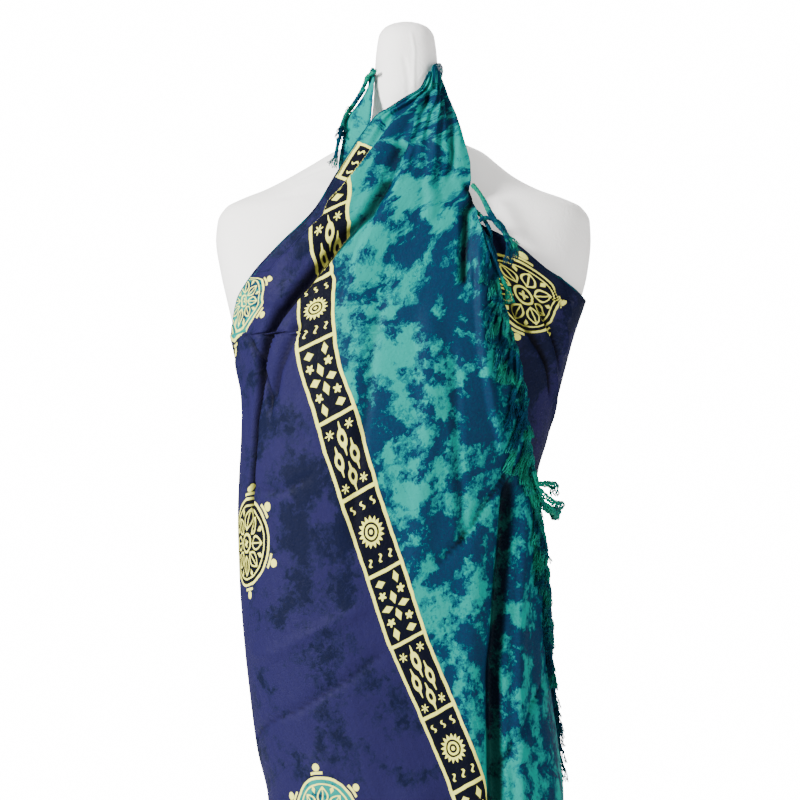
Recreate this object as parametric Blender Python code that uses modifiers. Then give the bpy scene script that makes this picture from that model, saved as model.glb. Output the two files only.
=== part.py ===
"""Fringed sarong tied as a halter on a limbless dress form. Metres, +Z up.

The form stands on its round base with the origin under the pole. Its front faces -Y,
and +X is to the right of someone who looks at the front.

The cloth is one rectangle, worn in three stretches: it goes round the back, its two ends
cross in front, and its top corners are tied behind the neck. Places on the body are given
by an angle (0 in front, 90 at the right side, 180 behind, -90 or 270 at the left side),
a height, and a lift off the surface that the innermost layer lies on.
"""

import math
from collections import namedtuple

import bmesh
import bpy
from mathutils import Vector

# Cloth and seams
CLOTH_THICKNESS = 0.0016
SEAM_HALF_GAP = 0.0002
ROUNDNESS = 2.25

# Heights that the pieces share
OVER_TOP = 1.466
UNDER_TOP = 1.461
LEFT_ARMHOLE = 1.187
RIGHT_ARMHOLE = 1.222
SKIRT_START = 0.70

# Rows and columns of the sheets. A level below the start of the skirt runs from 0.70 to -0.30
# and is shared out between there and the hem.
OVER_COLUMNS = 39
OVER_LEVELS = [1.155, 1.12, 1.088, 1.058, 1.03, 1.0, 0.965, 0.92, 0.87, 0.815, 0.76, 0.70, 0.5, 0.3, 0.1, -0.1, -0.3]
UNDER_COLUMNS = 17
UNDER_UPPER_LEVELS = [1.461, 1.44, 1.419, 1.40, 1.38, 1.358, 1.336, 1.314, 1.292, 1.272, 1.256, 1.244, 1.234, 1.227, 1.222]
UNDER_LEVELS = [1.205, 1.18, 1.145, 1.11, 1.08, 1.055, 1.03, 1.0, 0.96, 0.9, 0.8, 0.70, 0.5, 0.3, 0.1, -0.1, -0.3]
BACK_COLUMNS = 31
BACK_SHARES = [0, 0.035, 0.07, 0.105, 0.14, 0.17, 0.2, 0.235, 0.275, 0.32, 0.37, 0.42, 0.48, 0.56, 0.65, 0.74, 0.82, 0.91, 1]

# Form, pole and base
FORM_COLUMNS = 28
NECK_CENTRE_X = 0.0047
NECK_CENTRE_Y = 0.012
POLE_RADIUS = 0.0125
COLLAR_RADIUS = 0.026
COLLAR_HEIGHT = 0.030
BASE_RADIUS = 0.155
BASE_THICKNESS = 0.014
BASE_BEVEL = 0.004
HUB_RADIUS = 0.024
HUB_HEIGHT = 0.035
CLEARANCE = 0.0003

# Tie, knot and tails behind the neck
TIE_HALF_HEIGHT = 0.0048
TIE_HALF_THICKNESS = 0.0022
TIE_NECK_GAP = 0.0004
TIE_FIRST_COLUMN = 6
TIE_LAST_COLUMN = 11
KNOT_CENTRE = (0.0047, 0.0572, 1.4610)
KNOT_HALF_SIZES = (0.0175, 0.0102, 0.0135)
TAIL_TOP = 1.4475
TAIL_LIFT = 0.0075

# Fringe
STRIP_WIDTH = 0.0030
STRIP_GAP = 0.0003
STRAND_ROOT = 0.0026
STRAND_HALF_WIDTH = 0.0011
STRAND_HALF_THICKNESS = 0.0007

Section = namedtuple("Section", "z left right front back middle")
Fold = namedtuple("Fold", "depth left right path")
Fringe = namedtuple("Fringe", "end_angle side start reach length lift")

# Body sections of the form: how far each side reaches from the centre, in metres
FORM = (
    Section(1.5200, 0.0013, 0.0107, -0.006, 0.018, 0.012),
    Section(1.5180, 0.0103, 0.0197, 0.003, 0.027, 0.012),
    Section(1.5130, 0.0193, 0.0287, 0.012, 0.036, 0.012),
    Section(1.5040, 0.0248, 0.0342, 0.0175, 0.0415, 0.012),
    Section(1.4760, 0.0283, 0.0377, 0.021, 0.045, 0.012),
    Section(1.4550, 0.0293, 0.0387, 0.022, 0.046, 0.012),
    Section(1.4300, 0.0310, 0.0410, 0.024, 0.048, 0.012),
    Section(1.4100, 0.0340, 0.0460, 0.027, 0.051, 0.011),
    Section(1.3950, 0.0440, 0.0580, 0.031, 0.054, 0.010),
    Section(1.3810, 0.0740, 0.0860, 0.037, 0.058, 0.009),
    Section(1.3680, 0.0960, 0.1020, 0.043, 0.061, 0.008),
    Section(1.3550, 0.1186, 0.1190, 0.050, 0.066, 0.006),
    Section(1.3415, 0.1450, 0.1450, 0.057, 0.070, 0.005),
    Section(1.3320, 0.1690, 0.1720, 0.062, 0.074, 0.004),
    Section(1.3230, 0.1860, 0.1900, 0.067, 0.077, 0.003),
    Section(1.3080, 0.1950, 0.1990, 0.075, 0.082, 0.002),
    Section(1.2880, 0.1970, 0.2000, 0.084, 0.089, 0.001),
    Section(1.2540, 0.1920, 0.1965, 0.097, 0.097, 0.0),
    Section(1.2270, 0.1860, 0.1900, 0.106, 0.1005, 0.0),
    Section(1.1870, 0.1760, 0.1760, 0.115, 0.102, 0.0),
    Section(1.1500, 0.1620, 0.1620, 0.119, 0.099, 0.0),
    Section(1.1190, 0.1530, 0.1500, 0.117, 0.094, 0.0),
    Section(1.0770, 0.1460, 0.1430, 0.111, 0.087, 0.0),
    Section(1.0350, 0.1360, 0.1340, 0.103, 0.080, 0.0),
    Section(1.0000, 0.1310, 0.1310, 0.098, 0.078, 0.0),
    Section(0.9500, 0.1350, 0.1350, 0.096, 0.086, 0.0),
    Section(0.9000, 0.1390, 0.1375, 0.098, 0.098, 0.0),
    Section(0.8500, 0.1400, 0.1375, 0.099, 0.105, 0.0),
    Section(0.8000, 0.1370, 0.1370, 0.097, 0.103, 0.0),
    Section(0.7500, 0.1300, 0.1300, 0.091, 0.094, 0.0),
    Section(0.7160, 0.1200, 0.1200, 0.082, 0.083, 0.0),
    Section(0.7030, 0.1050, 0.1050, 0.069, 0.070, 0.0),
    Section(0.7000, 0.0900, 0.0900, 0.056, 0.057, 0.0),
)

# Sections of the surface that the innermost cloth lies on
WRAP = (
    Section(1.4800, 0.0310, 0.0405, 0.0240, 0.0480, 0.012),
    Section(1.4550, 0.0345, 0.0435, 0.0270, 0.0500, 0.012),
    Section(1.4300, 0.0480, 0.0560, 0.0360, 0.0540, 0.0115),
    Section(1.4000, 0.0780, 0.0840, 0.0500, 0.0600, 0.010),
    Section(1.3810, 0.0980, 0.1040, 0.0580, 0.0640, 0.009),
    Section(1.3550, 0.1300, 0.1320, 0.0690, 0.0710, 0.006),
    Section(1.3415, 0.1540, 0.1550, 0.0740, 0.0750, 0.005),
    Section(1.3320, 0.1790, 0.1830, 0.0780, 0.0780, 0.004),
    Section(1.3230, 0.1920, 0.1965, 0.0810, 0.0810, 0.003),
    Section(1.3080, 0.2000, 0.2050, 0.0860, 0.0860, 0.002),
    Section(1.2880, 0.2020, 0.2060, 0.0930, 0.0925, 0.001),
    Section(1.2540, 0.1970, 0.2020, 0.1050, 0.1005, 0.0),
    Section(1.2270, 0.1905, 0.1955, 0.1140, 0.1040, 0.0),
    Section(1.1870, 0.1815, 0.1820, 0.1210, 0.1055, 0.0),
    Section(1.1500, 0.1740, 0.1720, 0.1250, 0.1030, 0.0),
    Section(1.1190, 0.1690, 0.1640, 0.1250, 0.0990, 0.0),
    Section(1.0770, 0.1700, 0.1535, 0.1210, 0.0940, 0.0),
    Section(1.0350, 0.1720, 0.1430, 0.1160, 0.0900, 0.0),
    Section(1.0000, 0.1730, 0.1440, 0.1130, 0.0910, 0.0),
    Section(0.9500, 0.1720, 0.1460, 0.1110, 0.0980, 0.0),
    Section(0.9000, 0.1695, 0.1450, 0.1100, 0.1080, 0.0),
    Section(0.8500, 0.1650, 0.1440, 0.1100, 0.1140, 0.0),
    Section(0.8000, 0.1590, 0.1500, 0.1100, 0.1130, 0.0),
    Section(0.7500, 0.1520, 0.1570, 0.1100, 0.1100, 0.0),
    Section(0.7000, 0.1410, 0.1620, 0.1100, 0.1060, 0.0),
    Section(0.5500, 0.1340, 0.1640, 0.1100, 0.1040, 0.0),
    Section(0.4000, 0.1300, 0.1650, 0.1120, 0.1040, 0.0),
    Section(0.1200, 0.1270, 0.1640, 0.1140, 0.1060, 0.0),
)

# Lift of the over layer: height, at its left boundary, in front, at the right side, ramp in degrees
OVER_LIFT = (
    (1.48, 0.0020, 0.0020, 0.0020, 8),
    (1.44, 0.0035, 0.0040, 0.0040, 8),
    (1.40, 0.0048, 0.0058, 0.0058, 10),
    (1.36, 0.0050, 0.0068, 0.0068, 12),
    (1.33, 0.0030, 0.0075, 0.0075, 14),
    (1.30, 0.0012, 0.0080, 0.0080, 14),
    (1.25, 0.0006, 0.0085, 0.0085, 16),
    (1.187, 0.0, 0.0090, 0.0090, 34),
    (1.10, 0.0, 0.0105, 0.0095, 44),
    (1.00, 0.0, 0.0135, 0.0090, 44),
    (0.80, 0.0, 0.0140, 0.0085, 44),
    (0.10, 0.0, 0.0140, 0.0085, 44),
)
SIDE_LIFT_FROM = 50
SIDE_LIFT_TO = 84

# Top edge of the over layer, from the neck down to the left armhole: height, x
NECKLINE = (
    (1.4759, 0.0336),
    (1.4590, 0.0263),
    (1.4476, 0.0200),
    (1.4380, 0.0042),
    (1.4266, -0.0137),
    (1.4180, -0.0273),
    (1.3980, -0.0430),
    (1.3920, -0.0473),
    (1.3530, -0.0714),
    (1.3195, -0.0914),
    (1.2785, -0.1323),
    (1.2512, -0.1575),
    (1.2239, -0.1743),
    (1.1870, -0.1817),
)

# Fringed end of the over layer where it shows in front: height, x
OVER_END_IN_FRONT = (
    (1.4707, 0.0378),
    (1.4390, 0.0504),
    (1.4130, 0.0609),
    (1.3810, 0.0693),
    (1.3660, 0.0725),
    (1.3390, 0.0730),
    (1.3290, 0.0767),
    (1.2970, 0.0819),
    (1.2450, 0.0977),
    (1.2240, 0.1029),
    (1.1920, 0.1134),
    (1.1500, 0.1239),
    (1.0980, 0.1292),
    (1.0450, 0.1350),
)
# and where it goes round the side to the back: height, angle
OVER_END_TURNS = 1.045
OVER_END_ROUND_THE_SIDE = (
    (1.045, 57.4),
    (1.000, 67.5),
    (0.950, 77.0),
    (0.898, 86.0),
    (0.846, 94.5),
    (0.780, 104.0),
    (0.700, 113.0),
    (0.600, 122.0),
    (0.450, 132.0),
)

# Top edge of the under layer, from the neck down to the right armhole: height, x
UNDER_TOP_EDGE = (
    (1.464, -0.0300),
    (1.440, -0.0330),
    (1.419, -0.0370),
    (1.402, -0.0390),
    (1.385, -0.0340),
    (1.365, -0.0120),
    (1.345, 0.0200),
    (1.325, 0.0520),
    (1.303, 0.0810),
    (1.283, 0.1190),
    (1.256, 0.1520),
    (1.244, 0.1705),
    (1.234, 0.1845),
    (1.227, 0.1920),
    (1.222, 0.1966),
)
# and its fringed end, which the over layer hides below the neck: height, x
UNDER_END = (
    (1.464, -0.0325),
    (1.451, -0.0370),
    (1.442, -0.0415),
    (1.433, -0.0465),
    (1.420, -0.0550),
    (1.400, -0.0650),
    (1.366, -0.0700),
    (1.330, -0.0610),
    (1.250, -0.0570),
    (1.150, -0.0590),
    (1.000, -0.0650),
    (0.700, -0.0740),
    (0.250, -0.0830),
)

# Hem of each stretch: angle, height
OVER_HEM = ((-90, 0.262), (-45, 0.290), (0, 0.330), (45, 0.372), (75, 0.405), (100, 0.440), (135, 0.490))
BACK_HEM = ((90, 0.150), (135, 0.136), (180, 0.134), (225, 0.170), (270, 0.262))
UNDER_HEM = ((-45, 0.300), (0, 0.255), (45, 0.200), (90, 0.150))

# Folds of the over layer: depth (out is positive), reach to its left and right, path as (x, z)
OVER_FOLDS = (
    Fold(0.0028, 0.004, 0.020, ((0.018, 1.440), (-0.011, 1.410), (-0.034, 1.379), (-0.054, 1.350), (-0.084, 1.306))),
    Fold(-0.0022, 0.008, 0.006, ((0.008, 1.392), (0.000, 1.375), (-0.011, 1.349), (-0.033, 1.312), (-0.062, 1.284))),
    Fold(
        -0.0052,
        0.016,
        0.010,
        (
            (-0.050, 1.295),
            (-0.082, 1.261),
            (-0.100, 1.239),
            (-0.128, 1.206),
            (-0.141, 1.182),
            (-0.148, 1.150),
            (-0.154, 1.099),
            (-0.158, 1.040),
            (-0.160, 0.970),
        ),
    ),
    Fold(0.0060, 0.007, 0.026, ((0.012, 1.385), (-0.005, 1.339), (-0.027, 1.302), (-0.046, 1.262), (-0.058, 1.215))),
    Fold(0.0030, 0.009, 0.009, ((0.018, 1.425), (0.008, 1.392), (-0.004, 1.365), (-0.016, 1.345))),
    Fold(-0.0018, 0.006, 0.006, ((0.040, 1.455), (0.047, 1.439), (0.053, 1.418), (0.055, 1.387), (0.049, 1.345))),
    Fold(0.0022, 0.007, 0.008, ((0.034, 1.452), (0.036, 1.430), (0.034, 1.400), (0.028, 1.350), (0.022, 1.300))),
    Fold(-0.0030, 0.009, 0.006, ((0.070, 1.345), (0.069, 1.313), (0.067, 1.270), (0.066, 1.236))),
    Fold(
        0.0050,
        0.005,
        0.016,
        ((0.077, 1.325), (0.080, 1.276), (0.081, 1.220), (0.084, 1.161), (0.093, 1.110), (0.104, 1.060)),
    ),
    Fold(
        -0.0092,
        0.016,
        0.009,
        ((0.120, 1.052), (0.114, 1.000), (0.109, 0.940), (0.104, 0.870), (0.101, 0.780), (0.098, 0.660), (0.094, 0.400)),
    ),
    Fold(
        0.0040,
        0.006,
        0.024,
        ((0.129, 1.040), (0.125, 0.990), (0.121, 0.920), (0.119, 0.840), (0.119, 0.740), (0.118, 0.600), (0.116, 0.420)),
    ),
    Fold(0.0030, 0.020, 0.020, ((0.078, 1.000), (0.072, 0.880), (0.070, 0.760), (0.066, 0.600), (0.060, 0.380))),
    Fold(-0.0025, 0.010, 0.010, ((-0.104, 1.205), (-0.118, 1.177), (-0.129, 1.150), (-0.137, 1.115))),
    Fold(-0.0020, 0.007, 0.007, ((0.122, 1.058), (0.100, 1.030), (0.078, 0.998), (0.056, 0.968), (0.036, 0.946))),
    Fold(-0.0026, 0.009, 0.009, ((0.158, 0.835), (0.140, 0.801), (0.124, 0.772), (0.110, 0.745))),
    Fold(0.0060, 0.026, 0.026, ((-0.092, 0.760), (-0.088, 0.600), (-0.084, 0.290))),
    Fold(-0.0058, 0.022, 0.022, ((-0.040, 0.720), (-0.036, 0.560), (-0.034, 0.320))),
    Fold(0.0060, 0.024, 0.024, ((0.012, 0.740), (0.014, 0.560), (0.014, 0.330))),
)
# Folds of the under layer, path as (x, z)
UNDER_FOLDS = (
    Fold(-0.0022, 0.008, 0.006, ((0.108, 1.230), (0.122, 1.205), (0.140, 1.180), (0.152, 1.150), (0.152, 1.090))),
    Fold(0.0030, 0.007, 0.007, ((0.124, 1.226), (0.142, 1.200), (0.156, 1.168), (0.160, 1.120), (0.152, 1.060))),
    Fold(-0.0024, 0.006, 0.006, ((0.142, 1.224), (0.160, 1.192), (0.168, 1.160))),
    Fold(0.0032, 0.008, 0.006, ((0.150, 1.240), (0.170, 1.205), (0.172, 1.180))),
    Fold(0.0050, 0.026, 0.026, ((-0.040, 0.560), (-0.040, 0.420), (-0.040, 0.280))),
    Fold(-0.0050, 0.024, 0.024, ((0.020, 0.560), (0.020, 0.420), (0.020, 0.230))),
    Fold(0.0060, 0.026, 0.026, ((0.076, 0.540), (0.078, 0.420), (0.080, 0.190))),
    Fold(-0.0050, 0.020, 0.020, ((0.124, 0.520), (0.126, 0.400), (0.128, 0.160))),
)
# Folds of the back, path as (angle, z)
BACK_FOLDS = (
    Fold(0.0035, 0.010, 0.016, ((98, 1.195), (112, 1.150), (126, 1.090), (136, 1.020))),
    Fold(-0.0025, 0.010, 0.010, ((104, 1.205), (122, 1.160), (138, 1.100), (150, 1.020))),
    Fold(0.0035, 0.016, 0.010, ((262, 1.170), (248, 1.125), (236, 1.070), (226, 1.000))),
    Fold(-0.0025, 0.010, 0.010, ((256, 1.180), (240, 1.140), (226, 1.090), (214, 1.020))),
    Fold(0.0070, 0.022, 0.022, ((152, 1.060), (150, 0.850), (148, 0.600), (146, 0.140))),
    Fold(-0.0040, 0.020, 0.020, ((165, 1.040), (164, 0.850), (163, 0.600), (162, 0.140))),
    Fold(0.0085, 0.024, 0.024, ((180, 1.100), (180, 0.850), (180, 0.600), (180, 0.140))),
    Fold(-0.0042, 0.020, 0.020, ((196, 1.050), (197, 0.850), (198, 0.600), (199, 0.150))),
    Fold(0.0080, 0.024, 0.024, ((211, 1.060), (213, 0.850), (216, 0.600), (218, 0.160))),
    Fold(-0.0040, 0.020, 0.020, ((226, 1.000), (229, 0.850), (234, 0.600), (236, 0.190))),
    Fold(0.0075, 0.022, 0.022, ((241, 1.020), (245, 0.850), (250, 0.600), (253, 0.220))),
)


def lookup(table, key):
    """Read a table sorted by its first column at any key, smoothly, as a list of the other columns."""
    rows = table if table[0][0] < table[-1][0] else tuple(reversed(table))
    key = min(max(key, rows[0][0]), rows[-1][0])
    index = 0
    while index < len(rows) - 2 and rows[index + 1][0] < key:
        index += 1
    low, high = rows[index], rows[index + 1]
    span = high[0] - low[0]
    t = (key - low[0]) / span
    values = []
    for column in range(1, len(low)):
        rise = (high[column] - low[column]) / span
        start = slope_at(rows, index, column, rise)
        end = slope_at(rows, index + 1, column, rise)
        values.append(
            (2 * t**3 - 3 * t**2 + 1) * low[column]
            + (t**3 - 2 * t**2 + t) * span * start
            + (3 * t**2 - 2 * t**3) * high[column]
            + (t**3 - t**2) * span * end
        )
    return values


def slope_at(rows, index, column, rise):
    """Slope of a column at a row, flat where the column turns, so that no curve overshoots."""
    if index in (0, len(rows) - 1):
        return rise
    before = (rows[index][column] - rows[index - 1][column]) / (rows[index][0] - rows[index - 1][0])
    after = (rows[index + 1][column] - rows[index][column]) / (rows[index + 1][0] - rows[index][0])
    if before * after <= 0:
        return 0.0
    return 2 * before * after / (before + after)


def smooth_step(low, high, value):
    """0 below low, 1 above high, and a soft rise between them."""
    t = min(max((value - low) / (high - low), 0.0), 1.0)
    return t * t * (3 - 2 * t)


def signed_power(value, power):
    """Power of a value that keeps its sign."""
    return math.copysign(abs(value) ** power, value)


def body_point(sections, angle, z, lift=0.0):
    """Point on a stack of sections at an angle and a height, lifted off the surface."""
    left, right, front, back, middle = lookup(sections, z)
    turn = math.radians(angle)
    centre = (right - left) / 2
    half_width = (right + left) / 2 + lift
    ahead = math.cos(turn)
    reach = (front + middle if ahead > 0 else back - middle) + lift
    x = centre + half_width * signed_power(math.sin(turn), 2 / ROUNDNESS)
    y = middle - reach * signed_power(ahead, 2 / ROUNDNESS)
    return Vector((x, y, z))


def angle_at(x, z, lift=0.0):
    """Angle in front of the body where a layer with this lift has this x."""
    left, right = lookup(WRAP, z)[:2]
    share = (x - (right - left) / 2) / ((right + left) / 2 + lift)
    share = min(max(share, -1.0), 1.0)
    return math.degrees(math.asin(signed_power(share, ROUNDNESS / 2)))


def arc_radius(z):
    """Mean radius of the body, which turns angles into lengths."""
    left, right, front, back = lookup(WRAP, z)[:4]
    return (left + right + front + back) / 4


def fold_lines(folds, to_angle):
    """Folds with their paths as (angle, z)."""
    return [fold._replace(path=[(to_angle(x, z), z) for x, z in fold.path]) for fold in folds]


def seen_over(x, z):
    """Angle in front where the outer face of the over layer has this x."""
    return angle_at(x, z, lookup(OVER_LIFT, z)[1] + CLOTH_THICKNESS)


def seen_under(x, z):
    """Angle in front where the outer face of the under layer has this x."""
    return angle_at(x, z, CLOTH_THICKNESS)


def fold_height(lines, angle, z):
    """Sum of the folds at a place: a soft ridge or trough along each path, fading at its ends."""
    radius = arc_radius(z)
    total = 0.0
    for fold in lines:
        best = None
        for index in range(len(fold.path) - 1):
            start, end = fold.path[index], fold.path[index + 1]
            along = (math.radians(end[0] - start[0]) * radius, end[1] - start[1])
            here = (math.radians(angle - start[0]) * radius, z - start[1])
            length = math.hypot(*along)
            t = min(max((here[0] * along[0] + here[1] * along[1]) / length**2, 0.0), 1.0)
            off = (here[0] - t * along[0], here[1] - t * along[1])
            distance = math.hypot(*off)
            if best is None or distance < best[0]:
                side = off[0] * along[1] - off[1] * along[0]
                best = (distance, side, (index + t) / (len(fold.path) - 1))
        distance, side, share = best
        reach = fold.left if side > 0 else fold.right
        if distance < reach:
            fade = smooth_step(0.0, 0.16, share) * smooth_step(0.0, 0.12, 1.0 - share + 0.02)
            total += fold.depth * fade * (1 + math.cos(math.pi * distance / reach)) / 2
    return total


OVER_LINES = fold_lines(OVER_FOLDS, seen_over)
UNDER_LINES = fold_lines(UNDER_FOLDS, seen_under)
BACK_LINES = BACK_FOLDS


def over_left(z):
    """Angle of the over layer's left boundary: the neckline, then the left side."""
    if z <= LEFT_ARMHOLE:
        return -90.0
    return angle_at(lookup(NECKLINE, z)[0], z, lookup(OVER_LIFT, z)[0] + CLOTH_THICKNESS)


def over_end(z):
    """Angle of the over layer's fringed end."""
    if z > OVER_END_TURNS:
        return seen_over(lookup(OVER_END_IN_FRONT, z)[0], z)
    return lookup(OVER_END_ROUND_THE_SIDE, z)[0]


def over_lift(angle, z):
    """Lift of the over layer without its folds."""
    edge, front, side, ramp = lookup(OVER_LIFT, z)
    left = over_left(z)
    inward = smooth_step(left, left + ramp, angle)
    sideways = smooth_step(SIDE_LIFT_FROM, SIDE_LIFT_TO, angle)
    return edge + (front + (side - front) * sideways - edge) * inward


def over_point(angle, z, extra=0.0):
    """Point of the over layer's inner face. At the left side it keeps to its half of the seam."""
    fade = smooth_step(-90, -78, angle) if z <= LEFT_ARMHOLE else 1.0
    lift = over_lift(angle, z) + fold_height(OVER_LINES, angle, z) * fade + extra
    point = body_point(WRAP, angle, z, lift)
    if angle < -45:
        point.y = min(point.y, -SEAM_HALF_GAP)
    return point


def under_left(z):
    """Angle of the under layer's fringed end."""
    return seen_under(lookup(UNDER_END, z)[0], z)


def under_right(z):
    """Angle of the under layer's right boundary: its top edge, then the right side."""
    if z <= RIGHT_ARMHOLE:
        return 90.0
    return seen_under(lookup(UNDER_TOP_EDGE, z)[0], z)


def under_point(angle, z, extra=0.0):
    """Point of the under layer's inner face."""
    fade = 1.0 - smooth_step(78, 90, angle)
    lift = fold_height(UNDER_LINES, angle, z) * fade + extra
    point = body_point(WRAP, angle, z, lift)
    if angle > 45:
        point.y = min(point.y, -SEAM_HALF_GAP)
    return point


def back_point(angle, z):
    """Point of the back's inner face."""
    fade = smooth_step(90, 102, angle) * (1.0 - smooth_step(258, 270, angle))
    point = body_point(WRAP, angle, z, fold_height(BACK_LINES, angle, z) * fade)
    if angle < 135 or angle > 225:
        point.y = max(point.y, SEAM_HALF_GAP)
    return point


def spread(start, end, count):
    """Evenly spaced values from start to end, both included."""
    return [start + (end - start) * index / (count - 1) for index in range(count)]


def add_material(name, colour, roughness, metallic=0.0):
    """A plain finish."""
    material = bpy.data.materials.new(name)
    material.use_nodes = True
    shader = material.node_tree.nodes["Principled BSDF"]
    shader.inputs["Base Color"].default_value = (*colour, 1.0)
    shader.inputs["Roughness"].default_value = roughness
    shader.inputs["Metallic"].default_value = metallic
    return material


def add_object(name, mesh, material, collection):
    """Put a mesh in the collection as a smooth-shaded object with its finish."""
    mesh.materials.append(material)
    mesh.shade_smooth()
    mesh.set_sharp_from_angle(angle=math.radians(50))
    item = bpy.data.objects.new(name, mesh)
    collection.objects.link(item)
    return item


def loft_mesh(name, rings):
    """Closed solid through rings of equal count, with a flat face at each end."""
    mesh = bpy.data.meshes.new(name)
    bm = bmesh.new()
    loops = [[bm.verts.new(point) for point in ring] for ring in rings]
    count = len(loops[0])
    for above, below in zip(loops, loops[1:]):
        for index in range(count):
            after = (index + 1) % count
            bm.faces.new((above[index], above[after], below[after], below[index]))
    bm.faces.new(loops[0])
    bm.faces.new(reversed(loops[-1]))
    bmesh.ops.recalc_face_normals(bm, faces=bm.faces)
    bm.to_mesh(mesh)
    bm.free()
    return mesh


def cloth_object(name, rows, material, collection):
    """Sheet through rows of points, top to bottom and by growing angle, given its thickness outwards."""
    mesh = bpy.data.meshes.new(name)
    bm = bmesh.new()
    grid = [[bm.verts.new(point) for point in row] for row in rows]
    for above, below in zip(grid, grid[1:]):
        for index in range(len(above) - 1):
            bm.faces.new((above[index], below[index], below[index + 1], above[index + 1]))
    bm.to_mesh(mesh)
    bm.free()
    item = add_object(name, mesh, material, collection)
    wall = item.modifiers.new("wall", "SOLIDIFY")
    wall.thickness = CLOTH_THICKNESS
    wall.offset = 1.0
    return item


def side_edge(item, row_count, columns, column, inner_column):
    """Frames down one side of a sheet of rows."""
    edge = [row * columns + column for row in range(row_count)]
    inside = [row * columns + inner_column for row in range(row_count)]
    return edge_frames(item, edge, inside)


def row_height(level, hem):
    """Height of a row at one place: its level down to the start of the skirt, then shared out to the hem."""
    if level >= SKIRT_START:
        return level
    return SKIRT_START + (hem - SKIRT_START) * (SKIRT_START - level)


def row_end(end_angle, hems, level):
    """Angle at which a row meets a slanting end, at the height that the row has there."""
    angle = end_angle(level)
    for _ in range(3):
        angle = end_angle(row_height(level, lookup(hems, angle)[0]))
    return angle


def build_over(material, collection):
    """The stretch that lies on top: from the neck and the left side to the fringed end."""
    rows = []
    for level in spread(OVER_TOP, LEFT_ARMHOLE, 14) + OVER_LEVELS:
        left, right = over_left(level), row_end(over_end, OVER_HEM, level)
        row = []
        for angle in spread(left, right, OVER_COLUMNS):
            row.append(over_point(angle, row_height(level, lookup(OVER_HEM, angle)[0])))
        rows.append(row)
    item = cloth_object("cloth_over", rows, material, collection)
    return side_edge(item, len(rows), OVER_COLUMNS, OVER_COLUMNS - 1, OVER_COLUMNS - 2)


def build_under(material, collection):
    """The stretch beneath: from the right side to its own fringed end in front."""
    rows = []
    for level in UNDER_UPPER_LEVELS + UNDER_LEVELS:
        left, right = row_end(under_left, UNDER_HEM, level), under_right(level)
        row = []
        for angle in spread(left, right, UNDER_COLUMNS):
            row.append(under_point(angle, row_height(level, lookup(UNDER_HEM, angle)[0])))
        rows.append(row)
    item = cloth_object("cloth_under", rows, material, collection)
    return side_edge(item, len(rows), UNDER_COLUMNS, 0, 1)


def build_back(material, collection):
    """The stretch round the back, from the right side to the left side."""
    rows = []
    for share in BACK_SHARES:
        row = []
        for angle in spread(90.0, 270.0, BACK_COLUMNS):
            across = (angle - 90.0) / 180.0
            top = RIGHT_ARMHOLE + (LEFT_ARMHOLE - RIGHT_ARMHOLE) * across
            hem = lookup(BACK_HEM, angle)[0]
            row.append(back_point(angle, top + (hem - top) * share))
        rows.append(row)
    cloth_object("cloth_back", rows, material, collection)


def build_form(material, collection):
    """The torso with its neck and short shoulder ends, one smooth solid."""
    rings = []
    for section in FORM:
        ring = [body_point(FORM, 360.0 * step / FORM_COLUMNS, section.z) for step in range(FORM_COLUMNS)]
        rings.append(ring)
    add_object("form_torso", loft_mesh("form_torso", rings), material, collection)


def turned_object(name, radius, bottom, top, sides, bevel, material, collection):
    """Round piece about the pole's axis."""
    bpy.ops.mesh.primitive_cylinder_add(
        vertices=sides, radius=radius, depth=top - bottom, location=(0, 0, (top + bottom) / 2)
    )
    item = bpy.context.active_object
    item.name = name
    item.data.name = name
    item.data.materials.append(material)
    for owner in list(item.users_collection):
        owner.objects.unlink(item)
    collection.objects.link(item)
    item.data.shade_smooth()
    item.data.set_sharp_from_angle(angle=math.radians(35))
    if bevel:
        rounding = item.modifiers.new("rounding", "BEVEL")
        rounding.width = bevel
        rounding.segments = 1
    return item


def build_stand(base_finish, pole_finish, collection):
    """Base plate, hub, pole and the collar that holds the torso."""
    torso_bottom = FORM[-1].z
    hub_top = BASE_THICKNESS + HUB_HEIGHT
    collar_bottom = torso_bottom - COLLAR_HEIGHT
    turned_object("form_base", BASE_RADIUS, 0.0, BASE_THICKNESS, 48, BASE_BEVEL, base_finish, collection)
    turned_object(
        "form_hub", HUB_RADIUS, BASE_THICKNESS + CLEARANCE, hub_top, 24, 0.002, pole_finish, collection
    )
    turned_object(
        "form_pole", POLE_RADIUS, hub_top + CLEARANCE, collar_bottom - CLEARANCE, 24, 0.0, pole_finish, collection
    )
    turned_object(
        "form_collar", COLLAR_RADIUS, collar_bottom, torso_bottom - CLEARANCE, 24, 0.002, pole_finish, collection
    )


def strand_rings(path, half_height, half_thickness, sides):
    """Rings of a flattened strand along a path. Its thickness faces away from the neck's axis."""
    rings = []
    for index, centre in enumerate(path):
        before = path[max(index - 1, 0)]
        after = path[min(index + 1, len(path) - 1)]
        forward = (after - before).normalized()
        out = Vector((centre.x - NECK_CENTRE_X, centre.y - NECK_CENTRE_Y, 0)).normalized()
        out = (out - forward * out.dot(forward)).normalized()
        up = forward.cross(out).normalized()
        ring = []
        for step in range(sides):
            turn = 2 * math.pi * step / sides
            ring.append(centre + up * half_height * math.cos(turn) + out * half_thickness * math.sin(turn))
        rings.append(ring)
    return rings


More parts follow.
